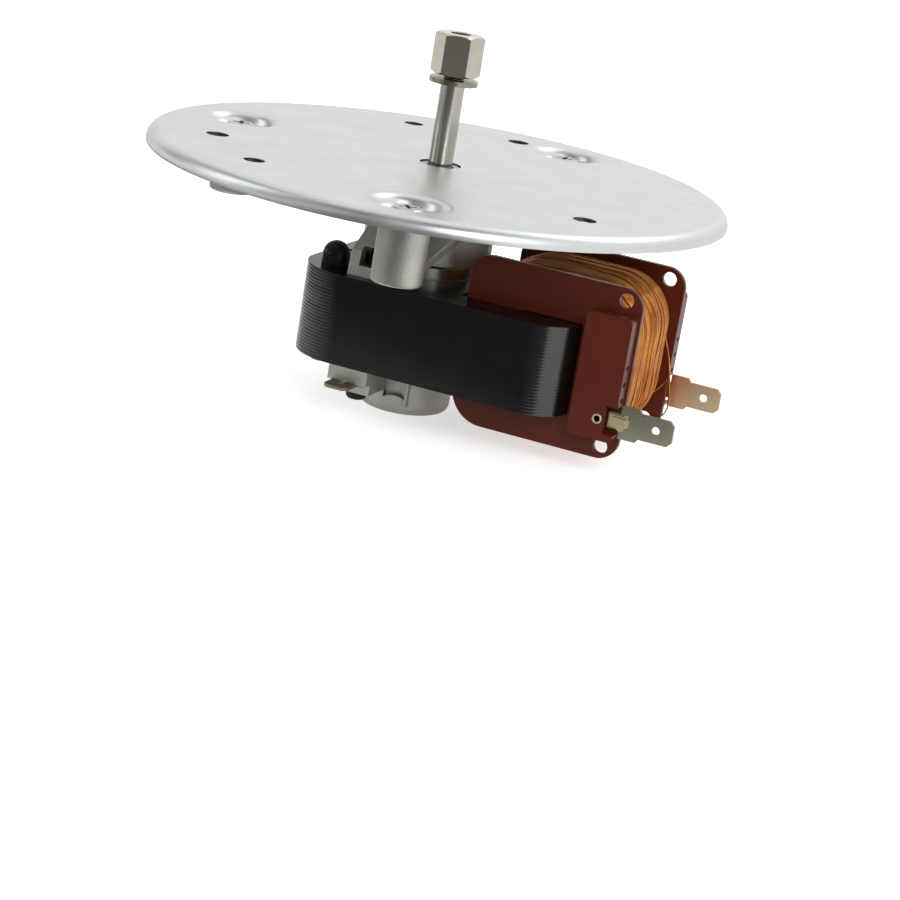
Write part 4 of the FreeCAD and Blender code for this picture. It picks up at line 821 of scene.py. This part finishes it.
# Camera at the photograph's place: the motor leans clockwise in its frame
CAMERA_PLACE = Vector((208.8, -546.3, 102.9)) * MM
CAMERA_AIM = Vector((18.34, -10.22, -67.30)) * MM
CAMERA_ROLL = math.radians(9.44)
CAMERA_LENS = 96.0
# Soft boxes: name, place, aim, width and height in mm, and power in watts
SOFT_BOXES = (
    ("softbox_top", (260, 380, 620), (10, 0, -20), 420, 320, 1.0),
    ("softbox_left", (-560, -210, 360), (0, 0, -30), 240, 480, 0.9),
    ("softbox_right", (430, -520, 400), (20, 0, -30), 240, 420, 1.9),
)
FLOOR_HALF = 4.0
# Dim walls, in mm, as rows of distance from the shaft, height, and the row's start and end along the wall
DIM_FRONT = (
    (75, -61, -110, 35), (900, -61, -1150, 340), (1200, 250, -1150, 420),
    (1100, 700, -700, 520), (600, 950, -520, 520), (150, 900, -520, 520),
)
DIM_LEFT_FLOOR = ((110, -61, -250, 700), (540, -61, -250, 700))
DIM_LEFT_WALL = ((800, 150, -700, 600), (820, 500, -700, 600), (500, 900, -700, 600))


class MOTOR_OT_stage(bpy.types.Operator):
    """Make the floor, the lights, the world and the camera."""

    bl_idname = "motor.stage"
    bl_label = "Stage, lights and camera"

    def execute(self, context):
        scene = context.scene
        scene.view_settings.view_transform = "Standard"
        self.make_world(scene)
        self.make_floor(scene)
        self.make_lamps(scene)
        self.make_dim_walls(scene)
        self.make_camera(scene)
        return {"FINISHED"}

    def make_lamps(self, scene):
        for name, place, aim, wide, tall, power in SOFT_BOXES:
            light = bpy.data.lights.new(name, "AREA")
            light.shape = "RECTANGLE"
            light.size = wide * MM
            light.size_y = tall * MM
            light.energy = power
            lamp = bpy.data.objects.new(name, light)
            lamp.location = Vector(place) * MM
            way = Vector(aim) * MM - lamp.location
            lamp.rotation_mode = "QUATERNION"
            lamp.rotation_quaternion = way.to_track_quat("-Z", "Y")
            scene.collection.objects.link(lamp)

    def make_camera(self, scene):
        camera = bpy.data.objects.new("camera", bpy.data.cameras.new("camera"))
        camera.data.lens = CAMERA_LENS
        camera.data.sensor_width = 36.0
        camera.location = CAMERA_PLACE
        camera.rotation_mode = "QUATERNION"
        look = (CAMERA_AIM - CAMERA_PLACE).to_track_quat("-Z", "Y")
        camera.rotation_quaternion = look @ Quaternion((0, 0, 1), CAMERA_ROLL)
        camera.data.clip_start = 10 * MM
        camera.data.clip_end = 20.0
        scene.collection.objects.link(camera)
        scene.camera = camera

    def ray_level(self, tree, camera, mirror, other):
        """A strength for rays from the camera, from glossy or clear surfaces, and for all others."""
        path = add_node(tree, "ShaderNodeLightPath").outputs
        level = add_node(tree, "ShaderNodeValue").outputs["Value"]
        level.default_value = other
        for ray, strength in (
            ("Is Camera Ray", camera), ("Is Glossy Ray", mirror), ("Is Transmission Ray", mirror),
        ):
            level = reckon(tree, "MAXIMUM", level, reckon(tree, "MULTIPLY", path[ray], strength))
        return level

    def stage_mesh(self, scene, name, points, faces, material):
        """A stage piece from points in metres."""
        mesh = bpy.data.meshes.new(name)
        mesh.from_pydata(points, [], faces)
        mesh.materials.append(material)
        piece = bpy.data.objects.new(name, mesh)
        scene.collection.objects.link(piece)
        piece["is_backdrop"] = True
        return piece

    def make_world(self, scene):
        world = bpy.data.worlds.new("white room")
        scene.world = world
        world.use_nodes = True
        tree = world.node_tree
        back = tree.nodes["Background"]
        back.inputs["Color"].default_value = (1.0, 1.0, 1.0, 1.0)
        tree.links.new(self.ray_level(tree, 1.0, 1.0, 0.72), back.inputs["Strength"])

    def make_floor(self, scene):
        material, tree, shader = blank_finish("white paper sweep", (0.8, 0.8, 0.8), Roughness=0.9)
        fibre = grain(tree, 2.0)
        tint(tree, shader, fibre, (0.8, 0.8, 0.8), (0.82, 0.82, 0.82))
        glow = add_node(tree, "ShaderNodeEmission", {"Color": (1.0, 1.0, 1.0, 1.0)})
        tree.links.new(self.ray_level(tree, 0.6, 0.25, 0.0), glow.inputs["Strength"])
        both = add_node(
            tree, "ShaderNodeAddShader", {}, {0: shader.outputs["BSDF"], 1: glow.outputs["Emission"]},
        )
        tree.links.new(both.outputs["Shader"], tree.nodes["Material Output"].inputs["Surface"])
        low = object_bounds()[0].z - 0.05 * MM
        corners = [(x * FLOOR_HALF, y * FLOOR_HALF, low) for x, y in ((-1, -1), (1, -1), (1, 1), (-1, 1))]
        self.stage_mesh(scene, "floor", corners, [(0, 1, 2, 3)], material)

    def make_dim_walls(self, scene):
        """The dim sides of the room, round the camera and on its left. Only reflections see them."""
        paper = blank_finish("grey paper", (0.16, 0.16, 0.16), Roughness=0.9)[0]
        toward = Vector((CAMERA_PLACE.x, CAMERA_PLACE.y, 0.0)).normalized()
        across = Vector((-toward.y, toward.x, 0.0))
        for name, out, along, rows in (
            ("dim_front", toward, across, DIM_FRONT),
            ("dim_left_floor", -across, toward, DIM_LEFT_FLOOR),
            ("dim_left_wall", -across, toward, DIM_LEFT_WALL),
        ):
            points = [
                MM * (reach * out + side * along + Vector((0.0, 0.0, high)))
                for reach, high, first, last in rows for side in (first, last)
            ]
            faces = [(n, n + 1, n + 3, n + 2) for n in range(0, len(points) - 2, 2)]
            wall = self.stage_mesh(scene, name, points, faces, paper)
            wall.visible_camera = False
            wall.visible_diffuse = False
            wall.visible_shadow = False
            wall.visible_transmission = False


class MOTOR_PT_panel(bpy.types.Panel):
    """Lists the motor's operators."""

    bl_idname = "MOTOR_PT_panel"
    bl_label = "Oven fan motor"
    bl_space_type = "VIEW_3D"
    bl_region_type = "UI"
    bl_category = "Motor"

    def draw(self, context):
        for operator in OPERATORS:
            self.layout.operator(operator.bl_idname)
        for group in (context.scene.motor_sizes, context.scene.motor_colours):
            for name in group.__annotations__:
                self.layout.prop(group, name)


OPERATORS = (
    MOTOR_OT_plate,
    MOTOR_OT_brackets,
    MOTOR_OT_stack,
    MOTOR_OT_coil,
    MOTOR_OT_bobbin,
    MOTOR_OT_terminals,
    MOTOR_OT_shaft_end,
    MOTOR_OT_rotor,
    MOTOR_OT_fastenings,
    MOTOR_OT_stage,
)
CLASSES = (MotorSizes, MotorColours, *OPERATORS, MOTOR_PT_panel)


def register():
    for kind in CLASSES:
        bpy.utils.register_class(kind)
    bpy.types.Scene.motor_sizes = bpy.props.PointerProperty(type=MotorSizes)
    bpy.types.Scene.motor_colours = bpy.props.PointerProperty(type=MotorColours)


def unregister():
    del bpy.types.Scene.motor_colours
    del bpy.types.Scene.motor_sizes
    for kind in reversed(CLASSES):
        bpy.utils.unregister_class(kind)


def main():
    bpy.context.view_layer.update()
    register()
    for operator in OPERATORS:
        group, name = operator.bl_idname.split(".")
        getattr(getattr(bpy.ops, group), name)()


if __name__ == "__main__":
    main()
